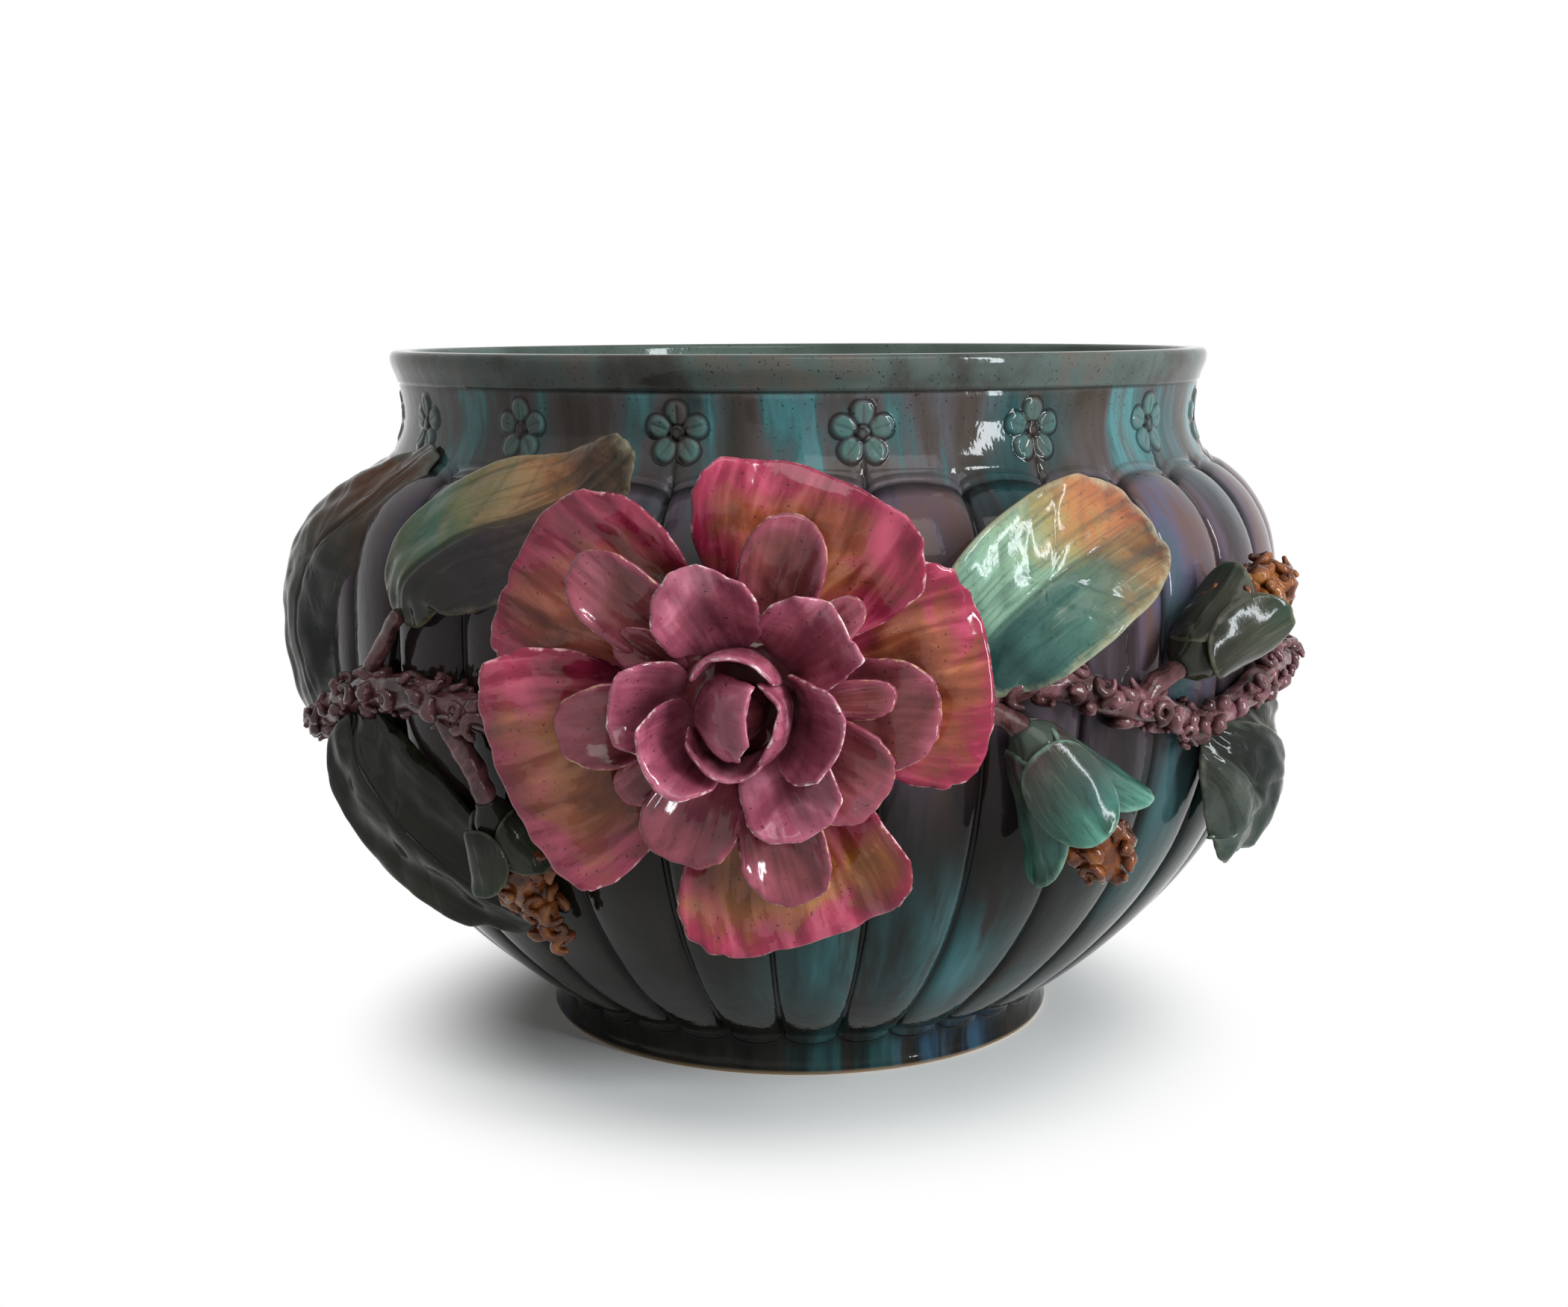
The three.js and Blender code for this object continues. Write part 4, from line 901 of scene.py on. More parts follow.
def blade(name, spine, shape, material, slot, node):
    """A blade of rolled clay, bent and cupped, as the frame's solid of the same name is, with a thin torn
    rim, ruffles and a relief of its own."""
    length, width, thickness, cup = (shape[key] for key in ("length", "width", "thickness", "cup"))
    narrow, square = shape.get("narrow", 0.45), shape.get("square", 2.3)
    tip, fold = shape.get("tip", 0.0), math.radians(shape.get("foldRight", 0.0))
    ruffle, seed = shape.get("ruffle", 0.0), shape["seed"]
    steps = int(math.pi * (length + width) / 2 / shape.get("pitch", 1.2))
    count = max(10, int(min(length, width) / 2 / shape.get("pitch", 1.2) * 0.9))
    turn = np.arange(steps) / steps * 2 * math.pi
    along = 0.5 + 0.5 * power(-np.cos(turn), square)
    point = 1 - tip * np.clip(along * 2 - 1, 0, None) ** 1.5
    taper = (1 - narrow * np.clip(1 - along, 0, None) ** 1.4) / (1 - narrow * 0.3) * point
    across = power(np.sin(turn), square) * width / 2 * taper
    chips = np.clip(torn(turn, seed + 2, 12, 60, 0.2) - 0.8, 0, 1.2)
    uneven = shape.get("ragged", 0.018) * torn(turn, seed, 3, 30, 0.8) - shape.get("chipped", 0.0) * chips
    ragged = 1 + uneven * smooth(along, 0.15, 0.6)
    for towards, reach in shape.get("breaks", ()):
        ragged = np.minimum(ragged, (reach + 0.4 * uneven) / np.maximum(np.cos(turn - towards), 0.2))
    rings = 1 - (1 - np.arange(1, count + 1) / count) ** 1.5
    bend = math.radians(cup) / (width / 2)

    def layer(ring, side):
        """Points of one face at shares of the way to the rim, and their places on the blade."""
        share = ring[:, None]
        spot = mix(0.5, 0.5 + (along - 0.5) * ragged, share)
        way = across * ragged * share
        size = spot.shape
        place, sideways, normal = (part.reshape(*size, 3) for part in spine(spot.ravel()))
        hand = np.sign(way)
        tilt = np.where(way > 0, fold, 0.0)
        angle = tilt + bend * np.abs(way)
        out = (np.sin(angle) - np.sin(tilt)) / bend
        lift = (np.cos(tilt) - np.cos(angle)) / bend
        cap = np.clip((share - (1 - 3.2 / min(length, width))) / (3.2 / min(length, width)), 0, 1)
        half = thickness / 2 * (1 - 0.35 * share**3) * np.sqrt(1 - cap**2) * side
        rounds = np.broadcast_to(turn, size)
        waves = ruffle * (share**2 * np.sin(3 * rounds) + 0.7 * share**3 * torn(rounds, seed + 1, 4, 9, 0.5))
        half_here = width / 2 * np.maximum(np.broadcast_to(taper, size), 0.2)
        over = np.clip(way / half_here, -1, 1)
        extra = shape["relief"](spot, over, share * np.ones(size), rounds) * (1 if side >= 0 else 0.7)
        points = place + sideways * (hand * (out - np.sin(angle) * half))[..., None]
        points = points + normal * (lift + np.cos(angle) * half + waves + extra)[..., None]
        points += 0.35 * swell(points, 14, seed)[..., None] * normal
        veins = shape["veins"](spot, over) if "veins" in shape else np.zeros(size)
        parts = (spot, over, np.broadcast_to(share, size), veins)
        return points.reshape(-1, 3), *(part.ravel() for part in parts)

    inner = rings[:-1]
    upper, lower, rim = layer(inner, 1.0), layer(inner, -1.0), layer(rings[-1:], 0.0)
    tops = [layer(np.array([1e-4]), side) for side in (1.0, -1.0)]
    centres = [[part[0] for part in top] for top in tops]
    merged = []
    for index in range(5):
        merged.append(np.concatenate([
            [centres[0][index]], upper[index], rim[index], [centres[1][index]], lower[index],
        ]))
    points, spot, over, share, vein = merged
    top_rows = len(inner)
    rim_start = 1 + top_rows * steps
    low_centre = rim_start + steps
    low_start = low_centre + 1
    upper_quads = grid(top_rows + 1, steps, 1)
    lower_quads = grid(top_rows, steps, low_start)[:, ::-1]
    step = np.arange(steps)
    after = (step + 1) % steps
    outer = low_start + (top_rows - 1) * steps
    joint = np.stack([rim_start + step, rim_start + after, outer + after, outer + step], -1)
    quads = np.concatenate([upper_quads, lower_quads, joint])
    triangles = np.concatenate([fan(0, 1, steps, True), fan(low_centre, low_start, steps)])
    quads, triangles = outwards(points, quads, triangles)
    tint = shape.get("tint", (0.0, 0.0, 0.0))
    marks = {
        "along": spot, "across": over, "rim": share, "vein": vein, "seed": seed * 7.3,
        "warm": tint[0], "pale": tint[1], "dusk": tint[2],
    }
    mesh = make_mesh(name, points, quads, triangles, marks)
    mesh.materials.append(material)
    return place_piece(name, mesh, slot, node)


def opening(place, out, hint):
    """Ways of a flower or bud that opens along out: its place, right, up and out."""
    right = unit(np.cross(hint, out))
    return place, right, unit(np.cross(out, right)), out


def rolled(place, across, normal, turn):
    """The ways of a blade at a place, turned about its length."""
    turn = np.asarray(turn)[..., None]
    return (
        place,
        across * np.cos(turn) + normal * np.sin(turn),
        normal * np.cos(turn) - across * np.sin(turn),
    )


def petal_spine(opened, clock, root, stand, rise, curl, length, lean):
    """Line of a petal's middle from its root, which rises at first and then curls, seen as on a clock."""
    place, right, up, out = opened
    clock, start, gain = math.radians(clock), math.radians(rise), math.radians(curl)
    away = up * math.cos(clock) + right * math.sin(clock)
    across = -up * math.sin(clock) + right * math.cos(clock)
    base = place + away * root + out * stand

    def spine(along):
        slope = (start + gain * along)[:, None]
        run = length * (np.sin(slope) - math.sin(start)) / gain
        climb = length * (math.cos(start) - np.cos(slope)) / gain
        normal = out * np.cos(slope) - away * np.sin(slope)
        place = base + away * run + out * climb
        return rolled(place, across * np.ones_like(slope), normal, math.radians(lean))

    return spine


def route(places):
    """Smooth curve through places on the bowl: a function of shares of its way, and its length."""
    knots = np.array([on_bowl(*place) for place in places])
    knots = np.concatenate([[2 * knots[0] - knots[1]], knots, [2 * knots[-1] - knots[-2]]])
    pieces = len(places) - 1

    def at(t):
        spot = np.clip(t, 0, 1) * pieces
        index = np.minimum(spot.astype(int), pieces - 1)
        part = (spot - index)[:, None]
        x0, x1, x2, x3 = (knots[index + step] for step in range(4))
        gap0, gap1, gap2 = (
            np.sqrt(np.linalg.norm(b - a, axis=1, keepdims=True)) for a, b in ((x0, x1), (x1, x2), (x2, x3))
        )
        t1 = ((x1 - x0) / gap0 - (x2 - x0) / (gap0 + gap1) + (x2 - x1) / gap1) * gap1
        t2 = ((x2 - x1) / gap1 - (x3 - x1) / (gap1 + gap2) + (x3 - x2) / gap2) * gap1
        square, cube = part**2, part**3
        return (
            x1 * (2 * cube - 3 * square + 1) + t1 * (cube - 2 * square + part)
            + x2 * (3 * square - 2 * cube) + t2 * (cube - square)
        )

    line = at(np.linspace(0, 1, 201))
    return at, np.linalg.norm(np.diff(line, axis=0), axis=1).sum()


def wall_spine(places, roll):
    """Line of a leaf's middle through places on the bowl, with its roll in degrees from root to tip."""
    at, length = route(places)

    def spine(along):
        t = np.clip(along, 0, 1)
        way = unit(at(np.minimum(t + 1e-4, 1)) - at(np.maximum(t - 1e-4, 0)))
        place = at(t) + way * ((along - t) * length)[:, None]
        across = unit(np.cross(way, wall_normal(place)))
        return rolled(place, across, unit(np.cross(across, way)), np.radians(eased(roll, t)))

    return spine, length


# ---------------------------------------------------------------- flower

FLOWER_PLACE = on_bowl(-4.8, -6.0)
FLOWER = opening(FLOWER_PLACE, outward(np.float64(-4.8)), np.array([0.0, 0.0, 1.0]))


def petal_relief(depth, seed, rolls):
    """Fine grooves that fan out from the root, and rims that roll back between two turns of the clock."""

    def relief(spot, over, share, turn):
        place = np.stack([over * 6, spot * 1.6], -1)
        lines = 0.8 * swell(place, 2.6, seed) + 0.35 * swell(place, 0.9, seed + 1)
        lift = depth * lines * smooth(spot, 0.1, 0.5)
        for low, high, amount in rolls:
            inside = smooth(turn, low, low + 0.5) * (1 - smooth(turn, high - 0.5, high))
            lift = lift + amount * inside * smooth(share, 0.72, 1.0) ** 1.3
        return lift

    return relief


def broken_edge(form, seed):
    """Straight breaks across the free end of a brittle petal: the way each one faces, and its reach."""
    rng = np.random.default_rng(seed)
    return [
        (math.pi + towards + rng.uniform(-0.25, 0.25), rng.uniform(0.86, 0.95))
        for towards in form.get("broken", ())
    ]


def petals(material, slot, form, rows):
    """Petals of one kind, each row with its place on the flower's clock, form, tints and rolled rims."""
    for index, row in enumerate(rows):
        name, clock, inset, drop, rise, curl, length, width, cup, lean, tint, rolls = row
        seed = form["seed"] + index * 3
        spine = petal_spine(FLOWER, clock, PAD_RADIUS - inset, PAD_STAND - drop, rise, curl, length, lean)
        shape = {
            **form, "length": length, "width": width, "cup": cup, "seed": seed, "tint": tint,
            "relief": petal_relief(form["depth"], seed, rolls), "breaks": broken_edge(form, seed),
        }
        blade(f"{name}_glazed", spine, shape, material, slot, name)


OUTER = {
    "thickness": PETAL, "ruffle": 1.5, "seed": 11, "depth": 0.4, "pitch": 1.15, "ragged": 0.022,
    "chipped": 0.014,
}
petals(CRIMSON, "crimson_glaze", OUTER, [
    ("petal_outer_lower_left", -109, 6, 13, 16, -24, 60, 86, 20, 6, (0.7, 1.5, 0.2), [(2.0, 4.2, -1.5)]),
    ("petal_outer_top", 22, 6, 17, 16, -28, 55, 80, 20, 0, (0.55, 0.6, 0.4), [(2.6, 3.8, -1.5)]),
    ("petal_outer_bottom", 164, 6, 17, 16, -22, 60, 79, 24, 0, (0.9, 1.5, 0.1), [(2.4, 4.4, -1.5)]),
    ("petal_outer_upper_left", -54, 6, 22.5, 15, -17, 64, 76, 32, 10, (0.5, 1.2, 0.3), [(1.2, 2.6, -3.0)]),
    ("petal_outer_right", 82, 6, 24.5, 11, -19, 57, 76, 16, 0, (0.6, 0.3, 0.8), [(2.0, 4.0, -1.5)]),
])
MIDDLE = {
    "thickness": PETAL, "square": 2.2, "narrow": 0.35, "seed": 71, "depth": 0.25, "ruffle": 0.5,
    "ragged": 0.02,
}
petals(MAUVE, "mauve_glaze", MIDDLE, [
    ("petal_middle_top", 18, 9, 10, 31, -25, 47, 31, 50, 0, (0.5, 0.4, 0.3), []),
    ("petal_middle_upper_left", -46, 9, 11, 30, -20, 52, 29, 50, 0, (0.5, 0.5, 0.3), []),
    ("petal_middle_left", -97, 9, 10, 33, -25, 40, 31, 50, 0, (0.2, 0.3, 0.5), []),
    ("petal_middle_bottom_left", 203, 9, 10, 33, -25, 35, 36, 50, 0, (0.1, 0.3, 0.6), []),
    ("petal_middle_bottom", 162, 9, 12, 26, -20, 47, 33, 50, 0, (0.3, 0.5, 0.4), []),
    ("petal_middle_lower_right", 120, 9, 9, 33, -28, 35, 36, 40, 0, (0.4, 0.3, 0.5), []),
    ("petal_middle_right", 91, 9, 14, 24, -17, 45, 38, 30, 0, (0.5, 0.4, 0.4), []),
    ("petal_small_right", 84, 9, 7, 31, -27, 31, 15, 50, 0, (0.5, 0.3, 0.2), []),
    ("petal_small_upper_right", 48, 9, 9, 30, -25, 33, 16, 50, 0, (0.5, 0.4, 0.2), []),
    ("petal_small_lower_left", -127, 9, 10, 23, -22, 29, 17, 40, 0, (0.4, 0.5, 0.2), []),
    ("petal_small_upper_left", -58, 10, 7, 34, -25, 27, 16, 40, 0, (0.4, 0.5, 0.2), []),
])
INNER = {
    "thickness": INNER_PETAL, "square": 2.8, "narrow": 0.3, "seed": 171, "depth": 0.25, "ruffle": 0.8,
    "ragged": 0.035, "chipped": 0.04, "broken": (-1.1, -0.35, 0.4, 1.15), "pitch": 1.0,
}
petals(ROSE, "rose_glaze", INNER, [
    ("petal_heart_left", -82, 19.5, 3, 80, 80, 41, 33, 60, 0, (0.2, 0.4, 0.5), []),
    # The heart's right petal has a pale tint of 3.0: a painted highlight on its inside.
    ("petal_heart_right", 95, 16, 3, 72, 40, 33, 33, 64, 0, (0.0, 3.0, 0.0), []),
    ("petal_inner_top", 5, 14, 6, 72, 24, 34, 38, 76, 0, (0.3, 0.4, 0.4), []),
    ("petal_inner_bottom", 192, 16, 6, 80, 4, 28, 38, 80, 0, (0.2, 0.4, 0.4), []),
    ("petal_inner_right", 98, 14, 6, 64, -10, 38, 40, 60, 0, (0.3, 0.5, 0.4), []),
    ("petal_inner_lower_left", 238, 16, 5, 62, -8, 33, 38, 60, 0, (0.2, 0.5, 0.4), []),
    ("petal_rose_left", -86, 12, 8, 54, -14, 33, 36, 50, 0, (0.3, 0.4, 0.4), []),
    ("petal_rose_top", -15, 12, 7.5, 48, -14, 41, 38, 44, 0, (0.4, 0.5, 0.4), []),
    ("petal_rose_upper_right", 46, 12, 8, 46, -18, 37, 38, 44, 0, (0.4, 0.5, 0.4), []),
    ("petal_rose_bottom_right", 146, 12, 9, 46, -24, 33, 38, 50, 0, (0.3, 0.5, 0.5), []),
])


def turned_body(name, opened, profile, sides, seed, lumps):
    """Round body of clay about an opening's axis, through a smooth profile of radius and height."""
    place, right, up, out = opened
    profile = np.array(profile, float)
    spots = np.linspace(0, len(profile) - 1, (len(profile) - 1) * 5 + 1)
    radius = np.interp(spots, np.arange(len(profile)), profile[:, 0])
    height = np.interp(spots, np.arange(len(profile)), profile[:, 1])
    turn = np.arange(sides) / sides * 2 * math.pi
    rings = []
    for r, h in zip(radius[1:-1], height[1:-1]):
        ring = place + out * h + (right * np.cos(turn)[:, None] + up * np.sin(turn)[:, None]) * r
        ring = ring + (ring - place - out * h) / max(r, 1) * lumps * swell(ring, 9, seed)[:, None]
        rings.append(ring)
    points, quads, triangles = skin(rings, place + out * height[0], place + out * height[-1])
    quads, triangles = outwards(points, quads, triangles)
    marks = {
        "along": 0.3, "across": 0.0, "rim": 0.5, "vein": 0.0, "seed": seed, "warm": 0.3, "pale": 0.2,
        "dusk": 0.6,
    }
    return make_mesh(name, points, quads, triangles, marks)


pad = turned_body("flower_pad_glazed", FLOWER, [
    (0, -6), (31, -6), (31, 6), (26.8, 19), (21.9, 24.4), (15.5, 28.5), (8, 31.1), (0, 32),
], 48, 5, 0.5)
pad.materials.append(MAUVE)
place_piece("flower_pad_glazed", pad, "mauve_glaze", "flower_pad")
heart = turned_body("flower_heart_glazed", FLOWER, [
    (0, 27), (8.7, 27), (10, 36), (9, 44), (5, 50), (0, 52),
], 40, 6, 0.6)
heart.materials.append(MAUVE)
place_piece("flower_heart_glazed", heart, "mauve_glaze", "flower_heart")

# ---------------------------------------------------------------- leaves


SIDE_VEINS = 8


def leaf_form(seed, folds):
    """Relief and veins of a leaf: a groove down its middle, side veins, and folds of its own."""

    def lines(spot, over):
        middle = np.exp(-((over / 0.035) ** 2))
        phase = (spot * SIDE_VEINS - np.abs(over) * 1.5) % 1
        side = np.exp(-(((phase - 0.5) / 0.07) ** 2)) * smooth(np.abs(over), 0.03, 0.15)
        return np.clip(middle + 0.5 * side * (1 - 0.5 * np.abs(over)), 0, 1)

    def relief(spot, over, share, turn):
        return folds(spot, over, share) - 0.75 * lines(spot, over) + 0.35 * swell(
            np.stack([over * 3, spot * 4], -1), 1.0, seed)

    return {"relief": relief, "veins": lines, "seed": seed}


def leaf(name, places, material, slot, folds, seed, roll=(0, 0), **form):
    """A leaf laid along places on the bowl, with folds and a roll of its own."""
    spine, length = wall_spine(places, roll)
    shape = {"thickness": LEAF, "length": length, "ruffle": 1.4, "ragged": 0.022, "pitch": 1.2, **form}
    blade(f"{name}_glazed", spine, {**shape, **leaf_form(seed, folds)}, material, slot, name)


leaf(
    "leaf_right", [(14.5, -2, 6), (18, 15, 13), (22.6, 29, 19), (28.4, 40, 23), (36, 49, 24)],
    MINT, "mint_glaze",
    lambda spot, over, share: 2.2 * np.exp(-(((over - 0.5) / 0.25) ** 2 + ((spot - 0.45) / 0.3) ** 2)),
    301, width=57, cup=16, narrow=0.05, square=2.7, ragged=0.012, ruffle=0.8,
)
leaf(
    "leaf_upper_left",
    [(-44, 9, 5), (-41.5, 27, 14), (-36, 41, 18), (-28, 51, 22), (-22.5, 59, 26), (-17, 76, 30)],
    OLIVE_TO_OCHRE, "leaf_glaze", lambda spot, over, share: 1.5 * np.sin(spot * 9) * smooth(over, 0.2, 0.9),
    302, width=52, cup=-8, foldRight=-32, narrow=0.2, tip=0.3,
)
leaf(
    "leaf_far_left", [(-67.5, -37, 6), (-71, -5, 10), (-66.5, 27, 11), (-60, 47, 8), (-54, 70, 3)],
    BROWN_OLIVE, "leaf_glaze", lambda spot, over, share: 1.6 * np.sin(spot * 8 + 1) * smooth(-over, 0.3, 1),
    303, width=52, cup=-40, narrow=0.0, tip=0.4, square=2.6, roll=(-24, -24, -10),
)
leaf(
    "leaf_lower_left", [(-54, -26, 7), (-51, -43, 12), (-45, -64, 14), (-38, -83, 12), (-31, -100, 7)],
    DARK_OLIVE, "olive_glaze",
    lambda spot, over, share: 1.6 * np.sin(over * 7 + spot * 2) * smooth(spot, 0.0, 0.4),
    304, width=50, cup=-24, narrow=0.25, tip=0.3, roll=(28, 28, 20),
)
leaf(
    "leaf_right_lower", [(46, -36, 6), (50, -47, 15), (55, -64, 21), (57, -85, 21)], DEEP_GREEN, "leaf_glaze",
    lambda spot, over, share: 1.5 * np.sin(over * 6 - spot * 3) * smooth(spot, 0.1, 0.5),
    305, width=50, cup=-26, square=3, narrow=0.6,
)
leaf(
    "leaf_right_rear", [(53, -30, 4), (58, -38, 7), (63, -48, 9), (67, -63, 9)], DARK_OLIVE, "olive_glaze",
    lambda spot, over, share: 1.2 * np.sin(over * 5 + spot * 3), 306, width=36, cup=-30, tip=0.3,
)

# ---------------------------------------------------------------- curls, branch and stalks


CURL_SIDES = 6


def tube(line, radii, sides):
    """Closed tube along a line of points, local to its own origin."""
    line = np.asarray(line, float)
    ways = unit(np.gradient(line, axis=0))
    hint = np.array([0.13, 0.21, 0.97])
    rings = []
    for spot, way, radius in zip(line, ways, radii):
        side = unit(np.cross(way, hint))
        over = np.cross(side, way)
        turn = np.arange(sides) / sides * 2 * math.pi
        rings.append(spot + radius * (side * np.cos(turn)[:, None] + over * np.sin(turn)[:, None]))
    start = line[0] - ways[0] * radii[0] * 0.6
    end = line[-1] + ways[-1] * radii[-1] * 0.6
    points, quads, triangles = skin(rings, start, end)
    return points, *outwards(points, quads, triangles)


def curl_shape(name, line, radii):
    """One curl of clay as an object for the trees to copy. It is taken away when the pieces are made."""
    piece = bpy.data.objects.new(name, make_mesh(name, *tube(line, radii, CURL_SIDES), local=True))
    bpy.context.scene.collection.objects.link(piece)
    return piece


def spiral(turns, wide, tight, low, high, count):
    """Line that winds inwards from wide to tight while it climbs from low to high."""
    t = np.linspace(0, 1, count)
    turn = t * turns * 2 * math.pi
    radius = mix(wide, tight, t)
    return np.stack([radius * np.cos(turn), radius * np.sin(turn), mix(low, high, t**1.3)], -1)


SNAIL = curl_shape("snail curl", spiral(1.0, 3.4, 1.6, -0.8, 2.6, 16), np.linspace(1.5, 1.1, 16))
BEAD = curl_shape("comma bead", spiral(0.42, 3.4, 2.6, -0.6, 2.2, 9), [
    0.9, 1.6, 2.3, 2.8, 2.9, 2.5, 1.9, 1.3, 0.8,
])
HOOK = curl_shape("hook curl", spiral(0.8, 3.2, 2.3, -0.8, 3.0, 12), [
    0.9, 1.3, 1.7, 1.9, 2.0, 2.0, 1.9, 1.7, 1.5, 1.2, 1.0, 0.8,
])
CURLS = pressed_curls()


def rope(name, places, radii, sides, steps, seed, lumps):
    """Rope of clay along places on the bowl, thick as the radii say from end to end."""
    at, _ = route(places)
    t = np.linspace(0, 1, steps)
    line = at(t)
    ways = unit(at(np.minimum(t + 1e-3, 1)) - at(np.maximum(t - 1e-3, 0)))
    across = unit(np.cross(ways, line * (1, 1, 0)))
    over = np.cross(across, ways)
    turn = np.arange(sides) / sides * 2 * math.pi
    thick = eased(radii, t)
    around = over[:, None] * np.cos(turn)[None, :, None] + across[:, None] * np.sin(turn)[None, :, None]
    points = line[:, None] + around * thick[:, None, None]
    points = points + around * (lumps * swell(points, 8, seed))[..., None]
    ends = line[0] - ways[0] * thick[0] * 0.5, line[-1] + ways[-1] * thick[-1] * 0.5
    points, quads, triangles = skin(list(points), *ends)
    return make_mesh(name, points, *outwards(points, quads, triangles))


def curled(name, core, node, slot, glaze, spacing, smallest, largest, facing, seed):
    """A core covered with curls of clay, set apart by the spacing, where it faces out of the bowl."""
    piece = grow(name, core, CURLS, {
        "Snail": SNAIL, "Bead": BEAD, "Hook": HOOK, "Spacing": spacing / 1000, "Smallest": smallest,
        "Largest": largest, "Centre": tuple(AXIS), "Facing": facing, "Seed": seed, "Glaze": glaze,
    })
    place_piece(name, piece, slot, node)


BRANCHES = [
    ("branch_left", [
        (-12, -17, 5), (-24, -21, 5), (-31.7, -19, 5), (-42.7, -15.5, 5), (-49.7, -17.4, 5), (-58, -26, 5),
        (-67, -39, 5), (-79, -47, 3), (-87, -48, 0),
    ], (6.2, 7.2, 7.2, 6.8, 5.6, 3.2), 230),
    ("branch_right", [
        (6, -11, 5), (13, -9, 5), (18.5, -6.6, 5), (24, -5.4, 5), (28.3, -9, 5), (33, -15, 5),
        (38.1, -19.7, 5), (45.5, -32, 5),
    ], (4.8, 6.2, 6.8, 7, 6), 130),
    ("branch_tip", [
        (43, -28, 5), (51.7, -25, 5), (59.1, -17.6, 5), (71.5, -17, 4), (82, -25, 2), (88, -28, 0),
    ], (5.8, 6.4, 5.8, 3.2), 140),
]
for index, (node, places, radii, steps) in enumerate(BRANCHES):
    core = rope(f"{node} core", places, [r - 0.8 for r in radii], 18, steps, 401 + index, 0.5)
    curled(f"{node}_glazed", core, node, "bark_glaze", BARK, 8.2, 0.95, 1.35, -0.3, 21 + index)

stalk = rope("leaf_stalk_left_glazed", [
    (-51, -15, 6), (-48, -1, 5), (-44, 13, 7),
], (3.6, 3), 16, 40, 411, 0.3)
stalk.materials.append(BARK)
place_piece("leaf_stalk_left_glazed", stalk, "bark_glaze", "leaf_stalk_left")

# ---------------------------------------------------------------- buds

# Of each bud: the places of its stalk, where it points, its cup's profile, its head's start, end and
# thickness at both, each sepal's clock and length, their width and rise, and their glaze. Sepals stand
# off the bud's axis by their roots, the middle one farther out than its neighbours.
BUDS = [
    ("bud_lower_right", [(10, -20, 5), (15, -16, 6), (18.8, -15, 9), (20.8, -20, 14)], (33.2, -81, 25),
     [(4, -3), (9.5, 4), (10, 12), (7, 24)], (30, 70, 15, 11), [(66, 48), (-10, 38), (-92, 52)],
     34, 74, GREY_GREEN),
    ("bud_upper_right", [(36, -15, 5), (38, -9, 7), (39.5, -3, 12)], (54, 26, 23),
     [(4, -3), (9.5, 4), (11, 12), (8, 24)], (28, 62, 15, 11), [(90, 38), (-5, 38), (-100, 38)],
     32, 80, OLIVE_GREY),
    ("bud_left", [(-38, -23, 5), (-34, -37, 8), (-31.5, -51, 12)], (-28.5, -117, 14),
     [(4, -3), (8, 4), (9, 12), (7, 20)], (18, 66, 16, 3), [(80, 25), (-10, 25), (-100, 25)],
     24, 74, OLIVE_GREY),
]
SEPAL_ROOTS = (8.2, 10.8, 8.2)


def sepal_relief(spot, over, share, turn):
    """A sepal's low rib, and its tip rolled back."""
    return 0.5 * np.exp(-((over / 0.12) ** 2)) - 1.6 * smooth(spot, 0.7, 1.05) ** 1.5 * share**2


def bud(name, stalk, tip, cup, head, sepals, width, rise, glaze, seed):
    """A bud on its stalk: a cup, three sepals round it, and a head of curled stamens."""
    place = on_bowl(*stalk[-1])
    opened = opening(place, unit(on_bowl(*tip) - place), unit(place * (1, 1, 0)))
    bark = rope(f"{name}_stalk_glazed", stalk, (4.2, 4.2), 18, 40, seed, 0.4)
    bark.materials.append(BARK)
    place_piece(f"{name}_stalk_glazed", bark, "bark_glaze", f"{name}_stalk")
    calyx = turned_body(f"{name}_cup_glazed", opened, [(0, cup[0][1]), *cup, (0, cup[-1][1])], 40, seed, 0.4)
    calyx.materials.append(glaze)
    place_piece(f"{name}_cup_glazed", calyx, "leaf_glaze", f"{name}_cup")
    start, end, thick, thin = head
    seat = cup[-1][1] - 1
    core = turned_body(f"{name} stamen core", opened, [
        (0, seat), (thick * 0.5, seat), (thick * 0.8, start + 3.6), (thin * 0.6, end - 3.6), (0, end),
    ], 32, seed, 0.3)
    curled(f"{name}_stamens_glazed", core, f"{name}_stamens", "amber_glaze", AMBER, 6.2, 1.0, 1.5, -2, seed)
    for index, (clock, length) in enumerate(sepals):
        root = SEPAL_ROOTS[index]
        spine = petal_spine(opened, clock, root, 2, rise, -8, length, 0)
        shape = {
            "length": length, "width": width, "cup": 56, "narrow": 0.2, "tip": 0.2, "thickness": INNER_PETAL,
            "seed": seed + index, "relief": sepal_relief, "ragged": 0.006, "ruffle": 0.3, "pitch": 1.1,
        }
        node = f"{name}_sepal_{index + 1}"
        blade(f"{node}_glazed", spine, shape, glaze, "leaf_glaze", node)


for number, form in enumerate(BUDS):
    bud(*form, seed=501 + 10 * number)
for shape in (SNAIL, BEAD, HOOK):
    bpy.data.objects.remove(shape)

# ---------------------------------------------------------------- floor, light and camera


def background_rays(tree):
    """1 for rays that show the background: to the camera, off a mirror or through glass. Else 0."""
    rays = add(tree, "ShaderNodeLightPath").outputs
    kinds = ("Is Camera Ray", "Is Glossy Ray", "Is Transmission Ray")
    return together(tree, *((rays[kind], 1.0) for kind in kinds))


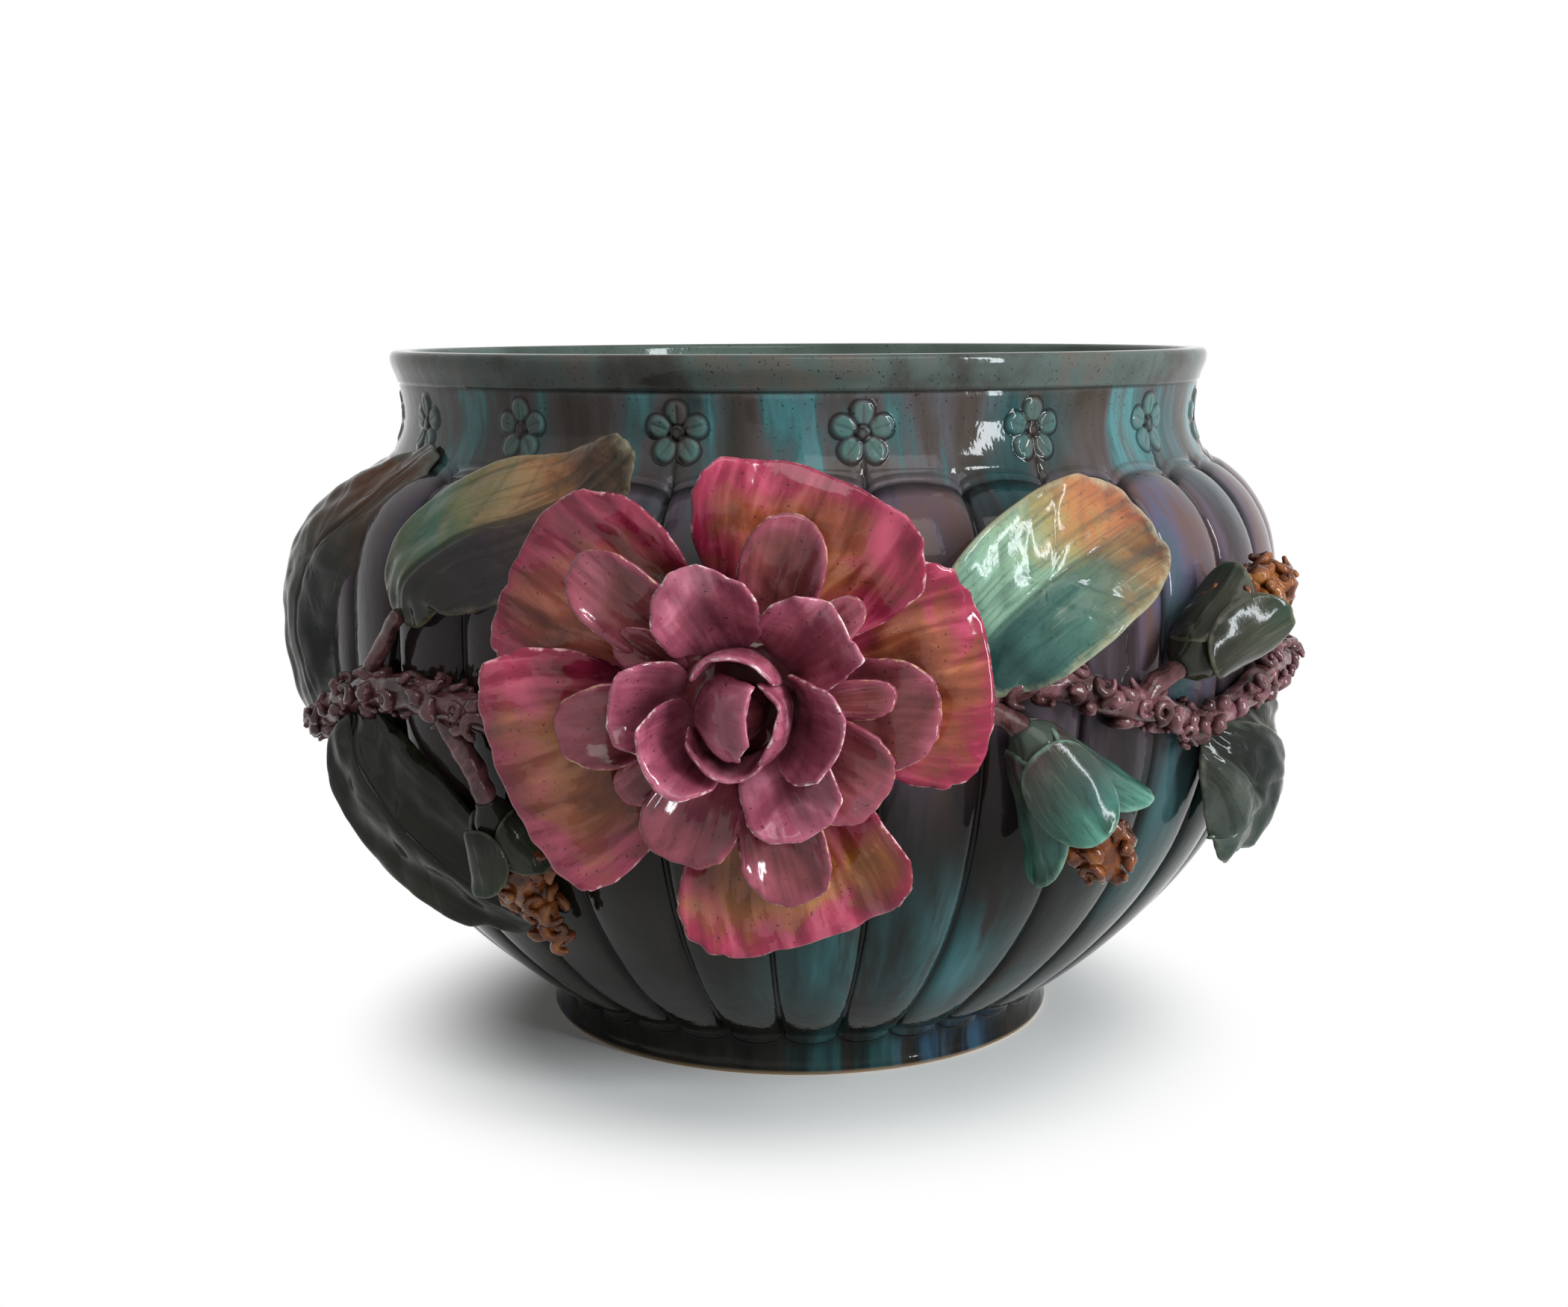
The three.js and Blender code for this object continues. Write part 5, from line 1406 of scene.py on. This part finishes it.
def floor_cloth():
    """Pale matt floor that fades to plain white away from the object, and keeps its shadow."""
    material = bpy.data.materials.new("pale studio floor")
    material.use_nodes = True
    tree = material.node_tree
    tree.nodes.clear()
    place = add(tree, "ShaderNodeTexCoord").outputs["Object"]
    far = add(tree, "ShaderNodeVectorMath", {0: place}, operation="LENGTH").outputs["Value"]
    fade = add(tree, "ShaderNodeMapRange", {
        "Value": far, "From Min": 0.11, "From Max": 0.2, "To Max": background_rays(tree),
    }, interpolation_type="SMOOTHSTEP").outputs[0]
    matt = add(tree, "ShaderNodeBsdfDiffuse", {"Color": shade("#f4f4f2")})
    white = add(tree, "ShaderNodeEmission", {"Color": (1, 1, 1, 1), "Strength": 1.0})
    both = add(tree, "ShaderNodeMixShader", {0: fade, 1: matt.outputs[0], 2: white.outputs[0]})
    add(tree, "ShaderNodeOutputMaterial", {"Surface": both.outputs[0]})
    return material


def studio():
    """Floor, white surround, a tall window to the right, a soft light above and a weak one to the left."""
    mesh = bpy.data.meshes.new("floor")
    mesh.from_pydata([(-6, -6, 0), (6, -6, 0), (6, 6, 0), (-6, 6, 0)], [], [(0, 1, 2, 3)])
    floor = bpy.data.objects.new("floor", mesh)
    floor.data.materials.append(floor_cloth())
    bpy.context.scene.collection.objects.link(floor)

    world = bpy.data.worlds.new("white surround")
    world.use_nodes = True
    tree = world.node_tree
    tree.nodes.clear()
    level = add(tree, "ShaderNodeMapRange", {
        "Value": background_rays(tree), "To Min": 0.2, "To Max": 1.0,
    }).outputs[0]
    light = add(tree, "ShaderNodeBackground", {"Color": (1, 1, 1, 1), "Strength": level})
    add(tree, "ShaderNodeOutputWorld", {"Surface": light.outputs[0]})
    bpy.context.scene.world = world

    for name, spot, size, energy, tone in [
        ("tall window", (1.2, -0.98, 0.62), (0.16, 1.15), 31.0, (0.9, 0.96, 1)),
        ("soft top light", (0.4, -1.0, 1.6), (1.0, 0.9), 11.0, (1, 0.98, 0.95)),
        ("weak left", (-1.4, -0.7, 0.9), (0.9, 0.9), 1.2, (1, 0.99, 0.97)),
    ]:
        lamp = bpy.data.lights.new(name, "AREA")
        lamp.shape = "RECTANGLE"
        lamp.size, lamp.size_y = size
        lamp.energy = energy
        lamp.color = tone
        holder = bpy.data.objects.new(name, lamp)
        aim = Vector((0, 0.03, 0.14)) - Vector(spot)
        holder.matrix_world = Matrix.Translation(spot) @ aim.to_track_quat("-Z", "Y").to_matrix().to_4x4()
        bpy.context.scene.collection.objects.link(holder)


def photo_camera():
    """The photograph's viewpoint, fitted to the rim, belly and foot of the bowl."""
    pitch, yaw, roll = (math.radians(angle) for angle in (VIEW_PITCH, VIEW_YAW, VIEW_ROLL))
    ahead = Vector((math.cos(pitch) * math.sin(yaw), math.cos(pitch) * math.cos(yaw), -math.sin(pitch)))
    right = Vector((math.cos(yaw), -math.sin(yaw), 0))
    up = Vector((math.sin(pitch) * math.sin(yaw), math.sin(pitch) * math.cos(yaw), math.cos(pitch)))
    level = right * math.cos(roll) - up * math.sin(roll)
    upright = right * math.sin(roll) + up * math.cos(roll)
    lens = bpy.data.cameras.new("photo view")
    lens.sensor_fit = "HORIZONTAL"
    lens.sensor_width = VIEW_SENSOR
    lens.lens = VIEW_LENS
    lens.clip_start = 0.01
    camera = bpy.data.objects.new("photo view", lens)
    spot = Vector((AXIS[0], AXIS[1] - VIEW_DISTANCE, VIEW_HEIGHT))
    turn = Matrix((level, upright, -ahead)).transposed().to_4x4()
    camera.matrix_world = Matrix.Translation(spot) @ turn
    bpy.context.scene.collection.objects.link(camera)
    bpy.context.scene.camera = camera


studio()
photo_camera()
bpy.context.scene.view_settings.view_transform = "Standard"
